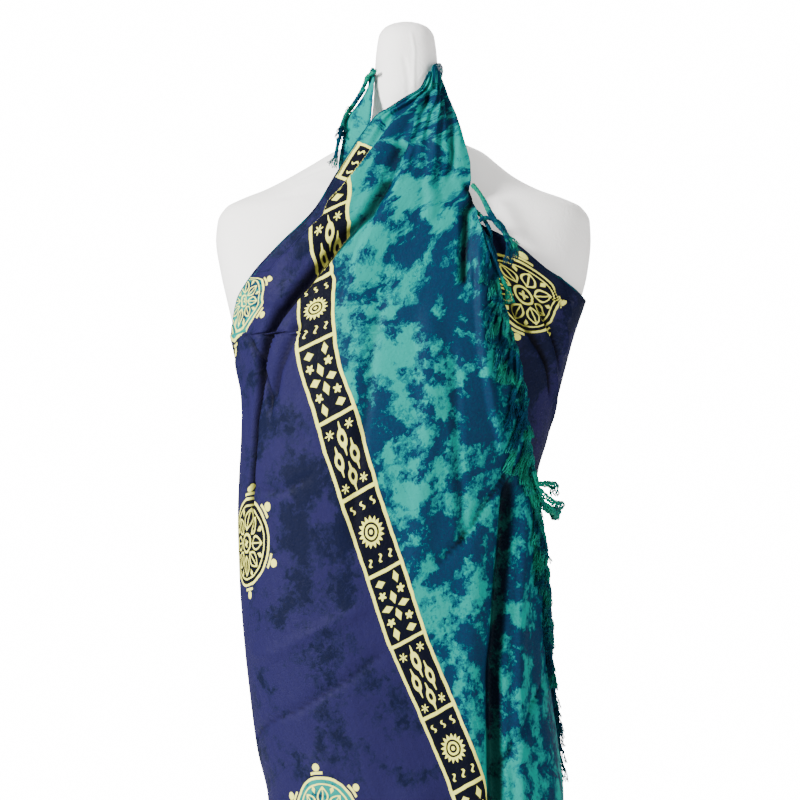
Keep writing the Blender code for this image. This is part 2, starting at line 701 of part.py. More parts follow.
def build_tie(name, side, cloth_top, material, collection):
    """Gathered cloth from the top of one end round the neck to the knot. Side is 1 right, -1 left.

    Cloth_top is a point in the middle of the end's top edge.
    """
    lift = TIE_NECK_GAP + TIE_HALF_THICKNESS
    top_height = cloth_top.z + 2 * CLEARANCE + TIE_HALF_HEIGHT
    path = [Vector((cloth_top.x, cloth_top.y, top_height))]
    for step in range(TIE_FIRST_COLUMN, TIE_LAST_COLUMN + 1):
        share = smooth_step(TIE_FIRST_COLUMN, TIE_LAST_COLUMN, step)
        height = top_height + (KNOT_CENTRE[2] - top_height) * share
        path.append(body_point(FORM, side * 360.0 * step / FORM_COLUMNS, height, lift))
    knot_side = KNOT_CENTRE[0] + side * (KNOT_HALF_SIZES[0] + 0.0008)
    path.append(Vector((knot_side, KNOT_CENTRE[1] - 0.0030, KNOT_CENTRE[2])))
    rings = strand_rings(path, TIE_HALF_HEIGHT, TIE_HALF_THICKNESS, 8)
    add_object(name, loft_mesh(name, rings), material, collection)


def build_knot(material, collection):
    """The knot at the nape: a rounded lump with the groove between its two turns."""
    bpy.ops.mesh.primitive_uv_sphere_add(segments=20, ring_count=12, radius=1.0)
    item = bpy.context.active_object
    item.name = "neck_knot"
    item.data.name = "neck_knot"
    for owner in list(item.users_collection):
        owner.objects.unlink(item)
    collection.objects.link(item)
    for vertex in item.data.vertices:
        slope = vertex.co.x * 0.8 + vertex.co.z * 0.6
        groove = 1.0 - 0.16 * math.exp(-((slope / 0.16) ** 2))
        for axis in range(3):
            vertex.co[axis] = KNOT_CENTRE[axis] + vertex.co[axis] * groove * KNOT_HALF_SIZES[axis]
    item.data.materials.append(material)
    item.data.shade_smooth()


def tail_point(side, share, down, length):
    """Point on a loose end. Share runs across from its inner edge, down from the knot to its edge."""
    width = 0.013 + 0.045 * down
    across = 0.0028 + width * share
    slant = 0.030 * down * (share - 0.5)
    z = TAIL_TOP - length * down - slant
    pleat = (0.0007 + 0.0016 * down) * math.sin(math.pi * 4 * share)
    y = max(lookup(FORM, z)[3] + TAIL_LIFT, KNOT_CENTRE[1]) + pleat
    return Vector((KNOT_CENTRE[0] + side * across, y, z))


def build_tail(name, side, length, material, collection):
    """A loose end of the cloth, pleated where it leaves the knot."""
    shares = spread(0.0, 1.0, 9)
    if side > 0:
        shares.reverse()
    rows = [[tail_point(side, share, down, length) for share in shares] for down in spread(0.0, 1.0, 7)]
    item = cloth_object(name, rows, material, collection)
    edge = range(6 * len(shares), 7 * len(shares))
    inside = range(5 * len(shares), 6 * len(shares))
    return edge_frames(item, edge, inside)


def edge_frames(item, edge, inside):
    """Point, direction away from the cloth and direction out of it, at each vertex along an edge."""
    vertices = item.data.vertices
    frames = []
    for position, (at, behind) in enumerate(zip(edge, inside)):
        before = vertices[edge[max(position - 1, 0)]].co
        after = vertices[edge[min(position + 1, len(edge) - 1)]].co
        out = vertices[at].normal.copy()
        away = (after - before).cross(out).normalized()
        if away.dot(vertices[at].co - vertices[behind].co) < 0:
            away.negate()
        frames.append((vertices[at].co.copy(), away, out))
    return frames


def station_at(frames, place):
    """Frame at a place between the vertices of an edge, 1.5 being midway from the second to the third."""
    index = min(int(place), len(frames) - 2)
    return [low.lerp(high, place - index) for low, high in zip(frames[index], frames[index + 1])]


def place_of_height(frames, z):
    """Where along an edge, given as frames from top to bottom, this height lies."""
    index = 0
    while index < len(frames) - 2 and frames[index + 1][0].z > z:
        index += 1
    above, below = frames[index][0].z, frames[index + 1][0].z
    return index + (above - z) / (above - below)


def fringe_mesh(name, frames, roots):
    """Strip beside an edge, with strands that grow from its outer side.

    Frames are those of the edge. A root is (start, end, rings): a stretch of the edge, as
    places between its vertices, and the rings of four points of the strand that grows there.
    """
    mesh = bpy.data.meshes.new(name)
    bm = bmesh.new()
    first_place, last_place = roots[0][0], roots[-1][1]
    stops = {place: None for place in range(len(frames)) if first_place < place < last_place}
    for start, end, rings in roots:
        stops[start] = rings
        stops.setdefault(end, None)
    places = sorted(stops)
    corners = []
    for place in places:
        point, away, out = station_at(frames, place)
        near = point + away * STRIP_GAP
        far = near + away * STRIP_WIDTH
        thick = out * CLOTH_THICKNESS
        corners.append([bm.verts.new(corner) for corner in (near, near + thick, far + thick, far)])
    for place, first, second in zip(places, corners, corners[1:]):
        for side in range(4):
            if side == 2 and stops[place]:
                continue
            after = (side + 1) % 4
            bm.faces.new((first[side], first[after], second[after], second[side]))
        if stops[place]:
            grow_strand(bm, [first[2], second[2], second[3], first[3]], stops[place])
    bm.faces.new(corners[0])
    bm.faces.new(reversed(corners[-1]))
    bmesh.ops.recalc_face_normals(bm, faces=bm.faces)
    bm.to_mesh(mesh)
    bm.free()
    return mesh


def grow_strand(bm, loop, rings):
    """Carry a strand from its root through its rings and close it."""
    for ring in rings:
        ahead = [bm.verts.new(point) for point in ring]
        for side in range(4):
            after = (side + 1) % 4
            bm.faces.new((loop[side], loop[after], ahead[after], ahead[side]))
        loop = ahead
    bm.faces.new(loop)


def root_between(start, end):
    """A strand's stretch of edge, moved on where it would pass over a vertex of the edge."""
    if int(end) > int(start):
        return float(int(end)), float(int(end)) + end - start
    return start, end


def strand_ring(centre, wide, out):
    """Four points round a strand, in the order in which its root lists them."""
    a = wide * STRAND_HALF_WIDTH
    b = out * STRAND_HALF_THICKNESS
    return [centre - a + b, centre + a + b, centre + a - b, centre - a - b]


def hanging_strand(station_above, station_below, centres, outs):
    """Rings of a strand that leaves its root and passes through the given centres."""
    last = (station_above[0] + station_below[0]) / 2
    last_wide = station_below[0] - station_above[0]
    rings = []
    for centre, out in zip(centres, outs):
        forward = (centre - last).normalized()
        out = (out - forward * out.dot(forward)).normalized()
        wide = forward.cross(out).normalized()
        if wide.dot(last_wide) < 0:
            wide.negate()
        rings.append(strand_ring(centre, wide, out))
        last, last_wide = centre, wide
    return rings


def edge_fringe(name, frames, top, bottom, count, layout, material, collection):
    """Fringe along a fringed end. The layout says where the end is and how its strands hang."""
    roots = []
    for index in range(count):
        z = top - (top - bottom) * index / (count - 1)
        start, end = root_between(place_of_height(frames, z), place_of_height(frames, z - STRAND_ROOT))
        centres = []
        outs = []
        for share in (0.42, 1.0 + 0.09 * math.sin(index * 2.3)):
            height = z - layout.length * share**1.35
            arc = layout.start + layout.reach * share
            angle = layout.end_angle(height) + layout.side * math.degrees(arc / arc_radius(height))
            lift = layout.lift(index, share, angle, height)
            centres.append(body_point(WRAP, angle, height, lift))
            outs.append(body_point(WRAP, angle, height, lift + 0.01) - centres[-1])
        rings = hanging_strand(station_at(frames, start), station_at(frames, end), centres, outs)
        roots.append((start, end, rings))
    add_object(name, fringe_mesh(name, frames, roots), material, collection)


def over_fringe_lift(index, share, angle, z):
    """Height at which the over layer's fringe hangs: clear of the folds of the layer behind it."""
    lines = UNDER_LINES if angle < 90 else BACK_LINES
    behind = [fold_height(lines, angle + turn, z + rise) for turn in (-4, 0, 4) for rise in (-0.01, 0.0, 0.01)]
    return max(behind) + 0.0054 + 0.0005 * math.sin(index * 1.7 + share)


def under_fringe_lift(index, share, angle, z):
    """Height at which the under layer's fringe hangs beside the neck, the upper strands over the lower."""
    return 0.0030 + share * 0.0030 * (5 - index)


def tail_fringe(name, frames, count, material, collection):
    """Fringe along the lower edge of a loose end."""
    roots = []
    last = len(frames) - 1
    for index in range(count):
        place = last * (0.02 + 0.90 * index / (count - 1))
        start, end = root_between(place, place + last * 0.045)
        above, below = station_at(frames, start), station_at(frames, end)
        root = (above[0] + below[0]) / 2 + above[2] * CLOTH_THICKNESS / 2
        centres = []
        for fall in (0.018, 0.044):
            z = root.z - fall
            centres.append(Vector((root.x, lookup(FORM, z)[3] + TAIL_LIFT, z)))
        roots.append((start, end, hanging_strand(above, below, centres, [Vector((0, 1, 0))] * 2)))
    add_object(name, fringe_mesh(name, frames, roots), material, collection)


def build():
    """Clear the scene and model every piece."""
    for item in list(bpy.data.objects):
        bpy.data.objects.remove(item, do_unlink=True)
    collection = bpy.data.collections.new("sarong_on_dress_form")
    bpy.context.scene.collection.children.link(collection)

    teal = add_material("teal_rayon", (0.060, 0.480, 0.370), 0.60)
    violet = add_material("violet_rayon", (0.060, 0.055, 0.210), 0.60)
    cover = add_material("white_jersey", (0.860, 0.850, 0.830), 0.75)
    enamel = add_material("white_enamel", (0.780, 0.780, 0.770), 0.35)
    steel = add_material("brushed_steel", (0.620, 0.620, 0.630), 0.30, 1.0)

    build_form(cover, collection)
    build_stand(enamel, steel, collection)
    build_back(violet, collection)
    under_edge = build_under(violet, collection)
    over_edge = build_over(teal, collection)
    right_top = over_point((over_left(OVER_TOP) + over_end(OVER_TOP)) / 2, OVER_TOP, CLOTH_THICKNESS / 2)
    left_top = under_point((under_left(UNDER_TOP) + under_right(UNDER_TOP)) / 2, UNDER_TOP, CLOTH_THICKNESS / 2)
    build_tie("tie_right", 1, right_top, teal, collection)
    build_tie("tie_left", -1, left_top, teal, collection)
    build_knot(teal, collection)
    right_edge = build_tail("tail_right", 1, 0.105, teal, collection)
    left_edge = build_tail("tail_left", -1, 0.088, teal, collection)
    over_fringe = Fringe(over_end, 1, 0.0050, 0.0200, 0.052, over_fringe_lift)
    under_fringe = Fringe(under_left, -1, 0.0040, 0.0080, 0.034, under_fringe_lift)
    edge_fringe("fringe_over", over_edge, 1.331, 0.500, 52, over_fringe, teal, collection)
    edge_fringe("fringe_under", under_edge, 1.452, 1.396, 6, under_fringe, teal, collection)
    tail_fringe("tail_fringe_right", right_edge, 9, teal, collection)
    tail_fringe("tail_fringe_left", left_edge, 9, teal, collection)


build()
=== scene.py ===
"""Looks of the fringed sarong on its dress form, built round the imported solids. Metres, +Z up, front to -Y.

The cloth is one rectangle of rayon. Its threads are followed everywhere as two lengths in metres:
u from the fringed end that lies on top, and v from the top edge. They are kept in the UV map
"threads", and every dyed or stamped pattern reads them, so that it bends with the folds.

Places on the body are an angle (0 in front, 90 at the right side, 180 behind, -90 or 270 at the
left side), a height, and a lift off the surface that the innermost layer lies on.
"""

import math
from collections import namedtuple

import bmesh
import bpy
import numpy as np
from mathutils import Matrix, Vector


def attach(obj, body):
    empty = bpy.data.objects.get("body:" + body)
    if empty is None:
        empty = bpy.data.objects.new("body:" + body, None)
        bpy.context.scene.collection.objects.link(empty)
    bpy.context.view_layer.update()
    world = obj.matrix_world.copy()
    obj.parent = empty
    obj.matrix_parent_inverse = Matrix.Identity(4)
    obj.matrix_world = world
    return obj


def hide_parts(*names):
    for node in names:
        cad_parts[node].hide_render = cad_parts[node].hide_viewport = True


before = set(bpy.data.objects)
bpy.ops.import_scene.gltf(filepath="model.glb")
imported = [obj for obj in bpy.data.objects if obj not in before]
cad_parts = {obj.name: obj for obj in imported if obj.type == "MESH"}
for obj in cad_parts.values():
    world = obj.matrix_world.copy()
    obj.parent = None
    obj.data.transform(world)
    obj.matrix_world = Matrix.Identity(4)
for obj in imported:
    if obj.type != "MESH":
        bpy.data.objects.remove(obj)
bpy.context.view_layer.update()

# Cloth
FLAT_WIDTH = 1.52
CLOTH_THICKNESS = 0.0008
CLOTH_LIFT = 0.0005
# Lift, over the layer's own, at which outlines measured in the photo are placed
FACE_LIFT = 0.0016
# Power of the body's rounded sections, where 2 is an ellipse
ROUNDNESS = 2.25
OVER_TOP = 1.4655
UNDER_TOP = 1.461
LEFT_ARMHOLE = 1.187
RIGHT_ARMHOLE = 1.222
SKIRT_START = 0.70

# The knot at the nape
KNOT_X = 0.0047
KNOT_HEIGHT = 1.461
RIGHT_TAIL_LENGTH = 0.105
LEFT_TAIL_LENGTH = 0.088

# Stamped band and dyed ends, as lengths along the cloth
BAND_MIDDLE = 0.3235
BAND_HALF_WIDTH = 0.0235
PANEL_PITCH = 0.080

Section = namedtuple("Section", "z left right front back middle")
Fold = namedtuple("Fold", "depth left right path")

# Body sections of the form: how far each side reaches from the centre
FORM = (
    Section(1.5200, 0.0013, 0.0107, -0.006, 0.018, 0.012),
    Section(1.5180, 0.0103, 0.0197, 0.003, 0.027, 0.012),
    Section(1.5130, 0.0193, 0.0287, 0.012, 0.036, 0.012),
    Section(1.5040, 0.0248, 0.0342, 0.0175, 0.0415, 0.012),
    Section(1.4760, 0.0283, 0.0377, 0.021, 0.045, 0.012),
    Section(1.4550, 0.0293, 0.0387, 0.022, 0.046, 0.012),
    Section(1.4300, 0.0310, 0.0410, 0.024, 0.048, 0.012),
    Section(1.4100, 0.0340, 0.0460, 0.027, 0.051, 0.011),
    Section(1.3950, 0.0440, 0.0580, 0.031, 0.054, 0.010),
    Section(1.3810, 0.0740, 0.0860, 0.037, 0.058, 0.009),
    Section(1.3680, 0.0960, 0.1020, 0.043, 0.061, 0.008),
    Section(1.3550, 0.1186, 0.1190, 0.050, 0.066, 0.006),
    Section(1.3415, 0.1450, 0.1450, 0.057, 0.070, 0.005),
    Section(1.3320, 0.1690, 0.1720, 0.062, 0.074, 0.004),
    Section(1.3230, 0.1860, 0.1900, 0.067, 0.077, 0.003),
    Section(1.3080, 0.1950, 0.1990, 0.075, 0.082, 0.002),
    Section(1.2880, 0.1970, 0.2000, 0.084, 0.089, 0.001),
    Section(1.2540, 0.1920, 0.1965, 0.097, 0.097, 0.0),
    Section(1.2270, 0.1860, 0.1900, 0.106, 0.1005, 0.0),
    Section(1.1870, 0.1760, 0.1760, 0.115, 0.102, 0.0),
    Section(1.1500, 0.1620, 0.1620, 0.119, 0.099, 0.0),
    Section(1.1190, 0.1530, 0.1500, 0.117, 0.094, 0.0),
    Section(1.0770, 0.1460, 0.1430, 0.111, 0.087, 0.0),
    Section(1.0350, 0.1360, 0.1340, 0.103, 0.080, 0.0),
    Section(1.0000, 0.1310, 0.1310, 0.098, 0.078, 0.0),
    Section(0.9500, 0.1350, 0.1350, 0.096, 0.086, 0.0),
    Section(0.9000, 0.1390, 0.1375, 0.098, 0.098, 0.0),
    Section(0.8500, 0.1400, 0.1375, 0.099, 0.105, 0.0),
    Section(0.8000, 0.1370, 0.1370, 0.097, 0.103, 0.0),
    Section(0.7500, 0.1300, 0.1300, 0.091, 0.094, 0.0),
    Section(0.7160, 0.1200, 0.1200, 0.082, 0.083, 0.0),
    Section(0.7030, 0.1050, 0.1050, 0.069, 0.070, 0.0),
    Section(0.7000, 0.0900, 0.0900, 0.056, 0.057, 0.0),
)

# Sections of the surface that the innermost cloth lies on
WRAP = (
    Section(1.4800, 0.0310, 0.0405, 0.0240, 0.0480, 0.012),
    Section(1.4550, 0.0345, 0.0435, 0.0270, 0.0500, 0.012),
    Section(1.4300, 0.0480, 0.0560, 0.0360, 0.0540, 0.0115),
    Section(1.4000, 0.0780, 0.0840, 0.0500, 0.0600, 0.010),
    Section(1.3810, 0.0980, 0.1040, 0.0580, 0.0640, 0.009),
    Section(1.3550, 0.1300, 0.1320, 0.0690, 0.0710, 0.006),
    Section(1.3415, 0.1540, 0.1550, 0.0740, 0.0750, 0.005),
    Section(1.3320, 0.1790, 0.1830, 0.0780, 0.0780, 0.004),
    Section(1.3230, 0.1920, 0.1965, 0.0810, 0.0810, 0.003),
    Section(1.3080, 0.2000, 0.2050, 0.0860, 0.0860, 0.002),
    Section(1.2880, 0.2020, 0.2060, 0.0930, 0.0925, 0.001),
    Section(1.2540, 0.1970, 0.2020, 0.1050, 0.1005, 0.0),
    Section(1.2270, 0.1905, 0.1955, 0.1140, 0.1040, 0.0),
    Section(1.1870, 0.1815, 0.1820, 0.1210, 0.1055, 0.0),
    Section(1.1500, 0.1740, 0.1720, 0.1250, 0.1030, 0.0),
    Section(1.1190, 0.1690, 0.1640, 0.1250, 0.0990, 0.0),
    Section(1.0770, 0.1700, 0.1535, 0.1210, 0.0940, 0.0),
    Section(1.0350, 0.1720, 0.1430, 0.1160, 0.0900, 0.0),
    Section(1.0000, 0.1730, 0.1440, 0.1130, 0.0910, 0.0),
    Section(0.9500, 0.1720, 0.1460, 0.1110, 0.0980, 0.0),
    Section(0.9000, 0.1695, 0.1450, 0.1100, 0.1080, 0.0),
    Section(0.8500, 0.1650, 0.1440, 0.1100, 0.1140, 0.0),
    Section(0.8000, 0.1590, 0.1500, 0.1100, 0.1130, 0.0),
    Section(0.7500, 0.1520, 0.1570, 0.1100, 0.1100, 0.0),
    Section(0.7000, 0.1410, 0.1620, 0.1100, 0.1060, 0.0),
    Section(0.5500, 0.1340, 0.1640, 0.1100, 0.1040, 0.0),
    Section(0.4000, 0.1300, 0.1650, 0.1120, 0.1040, 0.0),
    Section(0.1200, 0.1270, 0.1640, 0.1140, 0.1060, 0.0),
)

# Lift of the over layer: height, at its left boundary, in front, at the right side, ramp in degrees
OVER_LIFT = (
    (1.48, 0.0020, 0.0020, 0.0020, 8),
    (1.44, 0.0035, 0.0040, 0.0040, 8),
    (1.40, 0.0048, 0.0058, 0.0058, 10),
    (1.36, 0.0050, 0.0068, 0.0068, 12),
    (1.33, 0.0030, 0.0075, 0.0075, 14),
    (1.30, 0.0012, 0.0080, 0.0080, 14),
    (1.25, 0.0006, 0.0085, 0.0085, 16),
    (1.187, 0.0, 0.0090, 0.0090, 34),
    (1.10, 0.0, 0.0105, 0.0095, 44),
    (1.00, 0.0, 0.0135, 0.0090, 44),
    (0.80, 0.0, 0.0140, 0.0085, 44),
    (0.10, 0.0, 0.0140, 0.0085, 44),
)
SIDE_LIFT_FROM = 50
SIDE_LIFT_TO = 84

# Top edge of the over layer, from the neck down to the left armhole: height, x
NECKLINE = (
    (1.4759, 0.0336),
    (1.4590, 0.0263),
    (1.4476, 0.0200),
    (1.4380, 0.0042),
    (1.4266, -0.0137),
    (1.4180, -0.0273),
    (1.3980, -0.0430),
    (1.3920, -0.0473),
    (1.3530, -0.0714),
    (1.3195, -0.0914),
    (1.2785, -0.1323),
    (1.2512, -0.1575),
    (1.2239, -0.1743),
    (1.1870, -0.1817),
)

# Fringed end of the over layer where it shows in front: height, x
OVER_END_IN_FRONT = (
    (1.4707, 0.0378),
    (1.4390, 0.0504),
    (1.4130, 0.0609),
    (1.3810, 0.0693),
    (1.3660, 0.0725),
    (1.3390, 0.0730),
    (1.3290, 0.0767),
    (1.2970, 0.0819),
    (1.2450, 0.0977),
    (1.2240, 0.1029),
    (1.1920, 0.1134),
    (1.1500, 0.1239),
    (1.0980, 0.1292),
    (1.0450, 0.1350),
)
# and where it goes round the side to the back: height, angle
OVER_END_TURNS = 1.045
OVER_END_ROUND_THE_SIDE = (
    (1.045, 57.4),
    (1.000, 63.5),
    (0.950, 73.0),
    (0.898, 84.0),
    (0.846, 94.5),
    (0.780, 104.0),
    (0.700, 113.0),
    (0.600, 122.0),
    (0.450, 132.0),
)

# Top edge of the under layer, from the neck down to the right armhole: height, x
UNDER_TOP_EDGE = (
    (1.464, -0.0300),
    (1.440, -0.0322),
    (1.419, -0.0340),
    (1.402, -0.0350),
    (1.385, -0.0320),
    (1.365, -0.0120),
    (1.345, 0.0200),
    (1.325, 0.0520),
    (1.303, 0.0810),
    (1.283, 0.1190),
    (1.256, 0.1520),
    (1.244, 0.1705),
    (1.234, 0.1845),
    (1.227, 0.1920),
    (1.222, 0.1966),
)
# and its fringed end, which the over layer hides below the neck: height, x
UNDER_END = (
    (1.464, -0.0380),
    (1.451, -0.0425),
    (1.442, -0.0470),
    (1.433, -0.0520),
    (1.420, -0.0605),
    (1.400, -0.0650),
    (1.366, -0.0700),
    (1.330, -0.0610),
    (1.250, -0.0570),
    (1.150, -0.0590),
    (1.000, -0.0650),
    (0.700, -0.0740),
    (0.250, -0.0830),
)

# Hem of each stretch: angle, height
OVER_HEM = ((-90, 0.262), (-45, 0.290), (0, 0.330), (45, 0.372), (75, 0.405), (100, 0.440), (135, 0.490))
BACK_HEM = ((90, 0.150), (135, 0.136), (180, 0.134), (225, 0.170), (270, 0.262))
UNDER_HEM = ((-45, 0.300), (0, 0.255), (45, 0.200), (90, 0.150))

# The tuck beside the neckline, from the neck to the armhole: x, z
TUCK_LINE = (
    (0.022, 1.446),
    (0.018, 1.440),
    (-0.011, 1.410),
    (-0.034, 1.379),
    (-0.054, 1.353),
    (-0.084, 1.311),
    (-0.118, 1.276),
    (-0.141, 1.253),
    (-0.158, 1.237),
    (-0.1735, 1.2265),
)

# Folds of the over layer: depth (out is positive), reach to its left and right, path as (x, z)
OVER_FOLDS = (
    Fold(0.0046, 0.0026, 0.022, (
        (0.022, 1.446), (-0.011, 1.410), (-0.034, 1.379), (-0.054, 1.353), (-0.084, 1.311),
        (-0.118, 1.276), (-0.141, 1.253),
    )),
    Fold(-0.0072, 0.010, 0.0048, (
        (0.008, 1.392), (0.000, 1.375), (-0.011, 1.349), (-0.033, 1.312), (-0.062, 1.284),
    )),
    Fold(-0.0110, 0.012, 0.0050, (
        (-0.046, 1.302), (-0.062, 1.284), (-0.082, 1.261), (-0.100, 1.239), (-0.128, 1.206),
        (-0.141, 1.182), (-0.148, 1.150), (-0.154, 1.099), (-0.158, 1.040), (-0.160, 0.970),
    )),
    Fold(0.0062, 0.006, 0.026, (
        (0.012, 1.385), (-0.005, 1.339), (-0.027, 1.302), (-0.046, 1.262), (-0.058, 1.215),
    )),
    Fold(0.0042, 0.006, 0.010, ((0.018, 1.425), (0.008, 1.392), (-0.004, 1.365), (-0.016, 1.345))),
    Fold(-0.0036, 0.005, 0.0046, (
        (0.040, 1.455), (0.047, 1.439), (0.053, 1.418), (0.055, 1.387), (0.049, 1.345),
    )),
    Fold(0.0034, 0.006, 0.008, (
        (0.034, 1.452), (0.036, 1.430), (0.034, 1.400), (0.028, 1.350), (0.022, 1.300),
    )),
    Fold(-0.0034, 0.0046, 0.005, (
        (0.027, 1.455), (0.028, 1.433), (0.021, 1.417), (0.014, 1.392), (0.008, 1.36),
    )),
    Fold(-0.0076, 0.0080, 0.0036, ((0.0705, 1.352), (0.0695, 1.313), (0.0675, 1.270), (0.0665, 1.236))),
    Fold(0.0062, 0.0036, 0.016, (
        (0.076, 1.335), (0.078, 1.276), (0.079, 1.220), (0.083, 1.161), (0.092, 1.110), (0.104, 1.060),
    )),
    Fold(-0.0140, 0.017, 0.0076, (
        (0.120, 1.056), (0.114, 1.000), (0.109, 0.940), (0.104, 0.870), (0.101, 0.780), (0.098, 0.660),
        (0.094, 0.400),
    )),
    Fold(0.0064, 0.0048, 0.026, (
        (0.129, 1.040), (0.125, 0.990), (0.121, 0.920), (0.119, 0.840), (0.119, 0.740), (0.118, 0.600),
        (0.116, 0.420),
    )),
    Fold(0.0042, 0.018, 0.020, (
        (0.078, 1.000), (0.072, 0.880), (0.070, 0.760), (0.066, 0.600), (0.060, 0.380),
    )),
    Fold(-0.0046, 0.009, 0.007, ((-0.104, 1.205), (-0.118, 1.177), (-0.129, 1.150), (-0.137, 1.115))),
    Fold(-0.0040, 0.006, 0.0042, (
        (0.126, 1.060), (0.107, 1.037), (0.085, 1.008), (0.071, 0.982), (0.052, 0.962), (0.036, 0.946),
    )),
    Fold(-0.0046, 0.008, 0.005, (
        (0.158, 0.835), (0.140, 0.801), (0.124, 0.772), (0.110, 0.745), (0.094, 0.724),
    )),
    Fold(-0.0026, 0.005, 0.0044, (
        (-0.166, 1.030), (-0.147, 1.026), (-0.128, 1.023), (-0.111, 1.032), (-0.092, 1.041),
    )),
    Fold(0.0026, 0.006, 0.012, (
        (-0.168, 0.850), (-0.135, 0.852), (-0.101, 0.870), (-0.065, 0.888), (-0.030, 0.905),
    )),
    Fold(-0.0032, 0.005, 0.006, (
        (-0.165, 0.762), (-0.160, 0.767), (-0.107, 0.798), (-0.055, 0.830), (-0.007, 0.864),
    )),
    Fold(0.0030, 0.006, 0.010, ((-0.172, 1.226), (-0.160, 1.219), (-0.143, 1.224), (-0.122, 1.217))),
    Fold(-0.0040, 0.006, 0.006, ((-0.178, 1.195), (-0.160, 1.182), (-0.146, 1.150), (-0.138, 1.10))),
    Fold(0.0034, 0.010, 0.012, ((-0.182, 1.170), (-0.172, 1.120), (-0.168, 1.060))),
    Fold(-0.0030, 0.010, 0.007, ((-0.020, 1.235), (-0.034, 1.160), (-0.046, 1.060), (-0.050, 0.950))),
    Fold(0.0032, 0.012, 0.016, ((0.030, 1.240), (0.028, 1.140), (0.022, 1.040), (0.014, 0.930))),
    Fold(-0.0032, 0.009, 0.007, ((0.052, 1.190), (0.056, 1.110), (0.062, 1.030), (0.066, 0.960))),
    Fold(0.0060, 0.026, 0.026, ((-0.092, 0.760), (-0.088, 0.600), (-0.084, 0.290))),
    Fold(-0.0058, 0.022, 0.022, ((-0.040, 0.720), (-0.036, 0.560), (-0.034, 0.320))),
    Fold(0.0060, 0.024, 0.024, ((0.012, 0.740), (0.014, 0.560), (0.014, 0.330))),
)
# Folds of the under layer, path as (x, z)
UNDER_FOLDS = (
    Fold(-0.0046, 0.007, 0.004, (
        (0.108, 1.232), (0.122, 1.208), (0.140, 1.182), (0.154, 1.156), (0.158, 1.120),
    )),
    Fold(0.0044, 0.004, 0.007, (
        (0.124, 1.228), (0.142, 1.202), (0.156, 1.170), (0.161, 1.130), (0.156, 1.080),
    )),
    Fold(-0.0044, 0.005, 0.004, ((0.140, 1.226), (0.150, 1.204), (0.163, 1.176), (0.168, 1.150))),
    Fold(0.0046, 0.004, 0.006, ((0.150, 1.240), (0.162, 1.218), (0.172, 1.190), (0.172, 1.165))),
    Fold(0.0032, 0.004, 0.005, ((0.162, 1.250), (0.171, 1.230), (0.178, 1.203))),
    Fold(0.0050, 0.026, 0.026, ((-0.040, 0.560), (-0.040, 0.420), (-0.040, 0.280))),
    Fold(-0.0050, 0.024, 0.024, ((0.020, 0.560), (0.020, 0.420), (0.020, 0.230))),
    Fold(0.0060, 0.026, 0.026, ((0.076, 0.540), (0.078, 0.420), (0.080, 0.190))),
    Fold(-0.0050, 0.020, 0.020, ((0.124, 0.520), (0.126, 0.400), (0.128, 0.160))),
)
# Folds of the back, path as (angle, z)
BACK_FOLDS = (
    Fold(0.0035, 0.008, 0.016, ((98, 1.195), (112, 1.150), (126, 1.090), (136, 1.020))),
    Fold(-0.0025, 0.010, 0.008, ((104, 1.205), (122, 1.160), (138, 1.100), (150, 1.020))),
    Fold(0.0035, 0.016, 0.008, ((262, 1.170), (248, 1.125), (236, 1.070), (226, 1.000))),
    Fold(-0.0025, 0.008, 0.010, ((256, 1.180), (240, 1.140), (226, 1.090), (214, 1.020))),
    Fold(0.0070, 0.022, 0.022, ((152, 1.060), (150, 0.850), (148, 0.600), (146, 0.140))),
    Fold(-0.0040, 0.020, 0.020, ((165, 1.040), (164, 0.850), (163, 0.600), (162, 0.140))),
    Fold(0.0085, 0.024, 0.024, ((180, 1.100), (180, 0.850), (180, 0.600), (180, 0.140))),
    Fold(-0.0042, 0.020, 0.020, ((196, 1.050), (197, 0.850), (198, 0.600), (199, 0.150))),
    Fold(0.0080, 0.024, 0.024, ((211, 1.060), (213, 0.850), (216, 0.600), (218, 0.160))),
    Fold(-0.0040, 0.020, 0.020, ((226, 1.000), (229, 0.850), (234, 0.600), (236, 0.190))),
    Fold(0.0075, 0.022, 0.022, ((241, 1.020), (245, 0.850), (250, 0.600), (253, 0.220))),
)

# Soft folds of the form's cover: depth, reach to its left and right, path as (x, z) on the form
COVER_FOLDS = (
    Fold(0.0010, 0.0016, 0.004, ((0.008, 1.512), (0.0125, 1.49), (0.0120, 1.47), (0.0120, 1.445))),
    Fold(-0.0012, 0.004, 0.003, ((0.001, 1.485), (0.005, 1.470), (0.007, 1.455), (0.007, 1.44))),
    Fold(-0.0020, 0.005, 0.005, ((-0.070, 1.366), (-0.085, 1.362), (-0.100, 1.356), (-0.113, 1.350))),
    Fold(-0.0022, 0.006, 0.005, ((-0.084, 1.338), (-0.100, 1.336), (-0.116, 1.333), (-0.130, 1.332))),
    Fold(0.0016, 0.006, 0.006, ((-0.078, 1.350), (-0.096, 1.347), (-0.114, 1.342))),
)

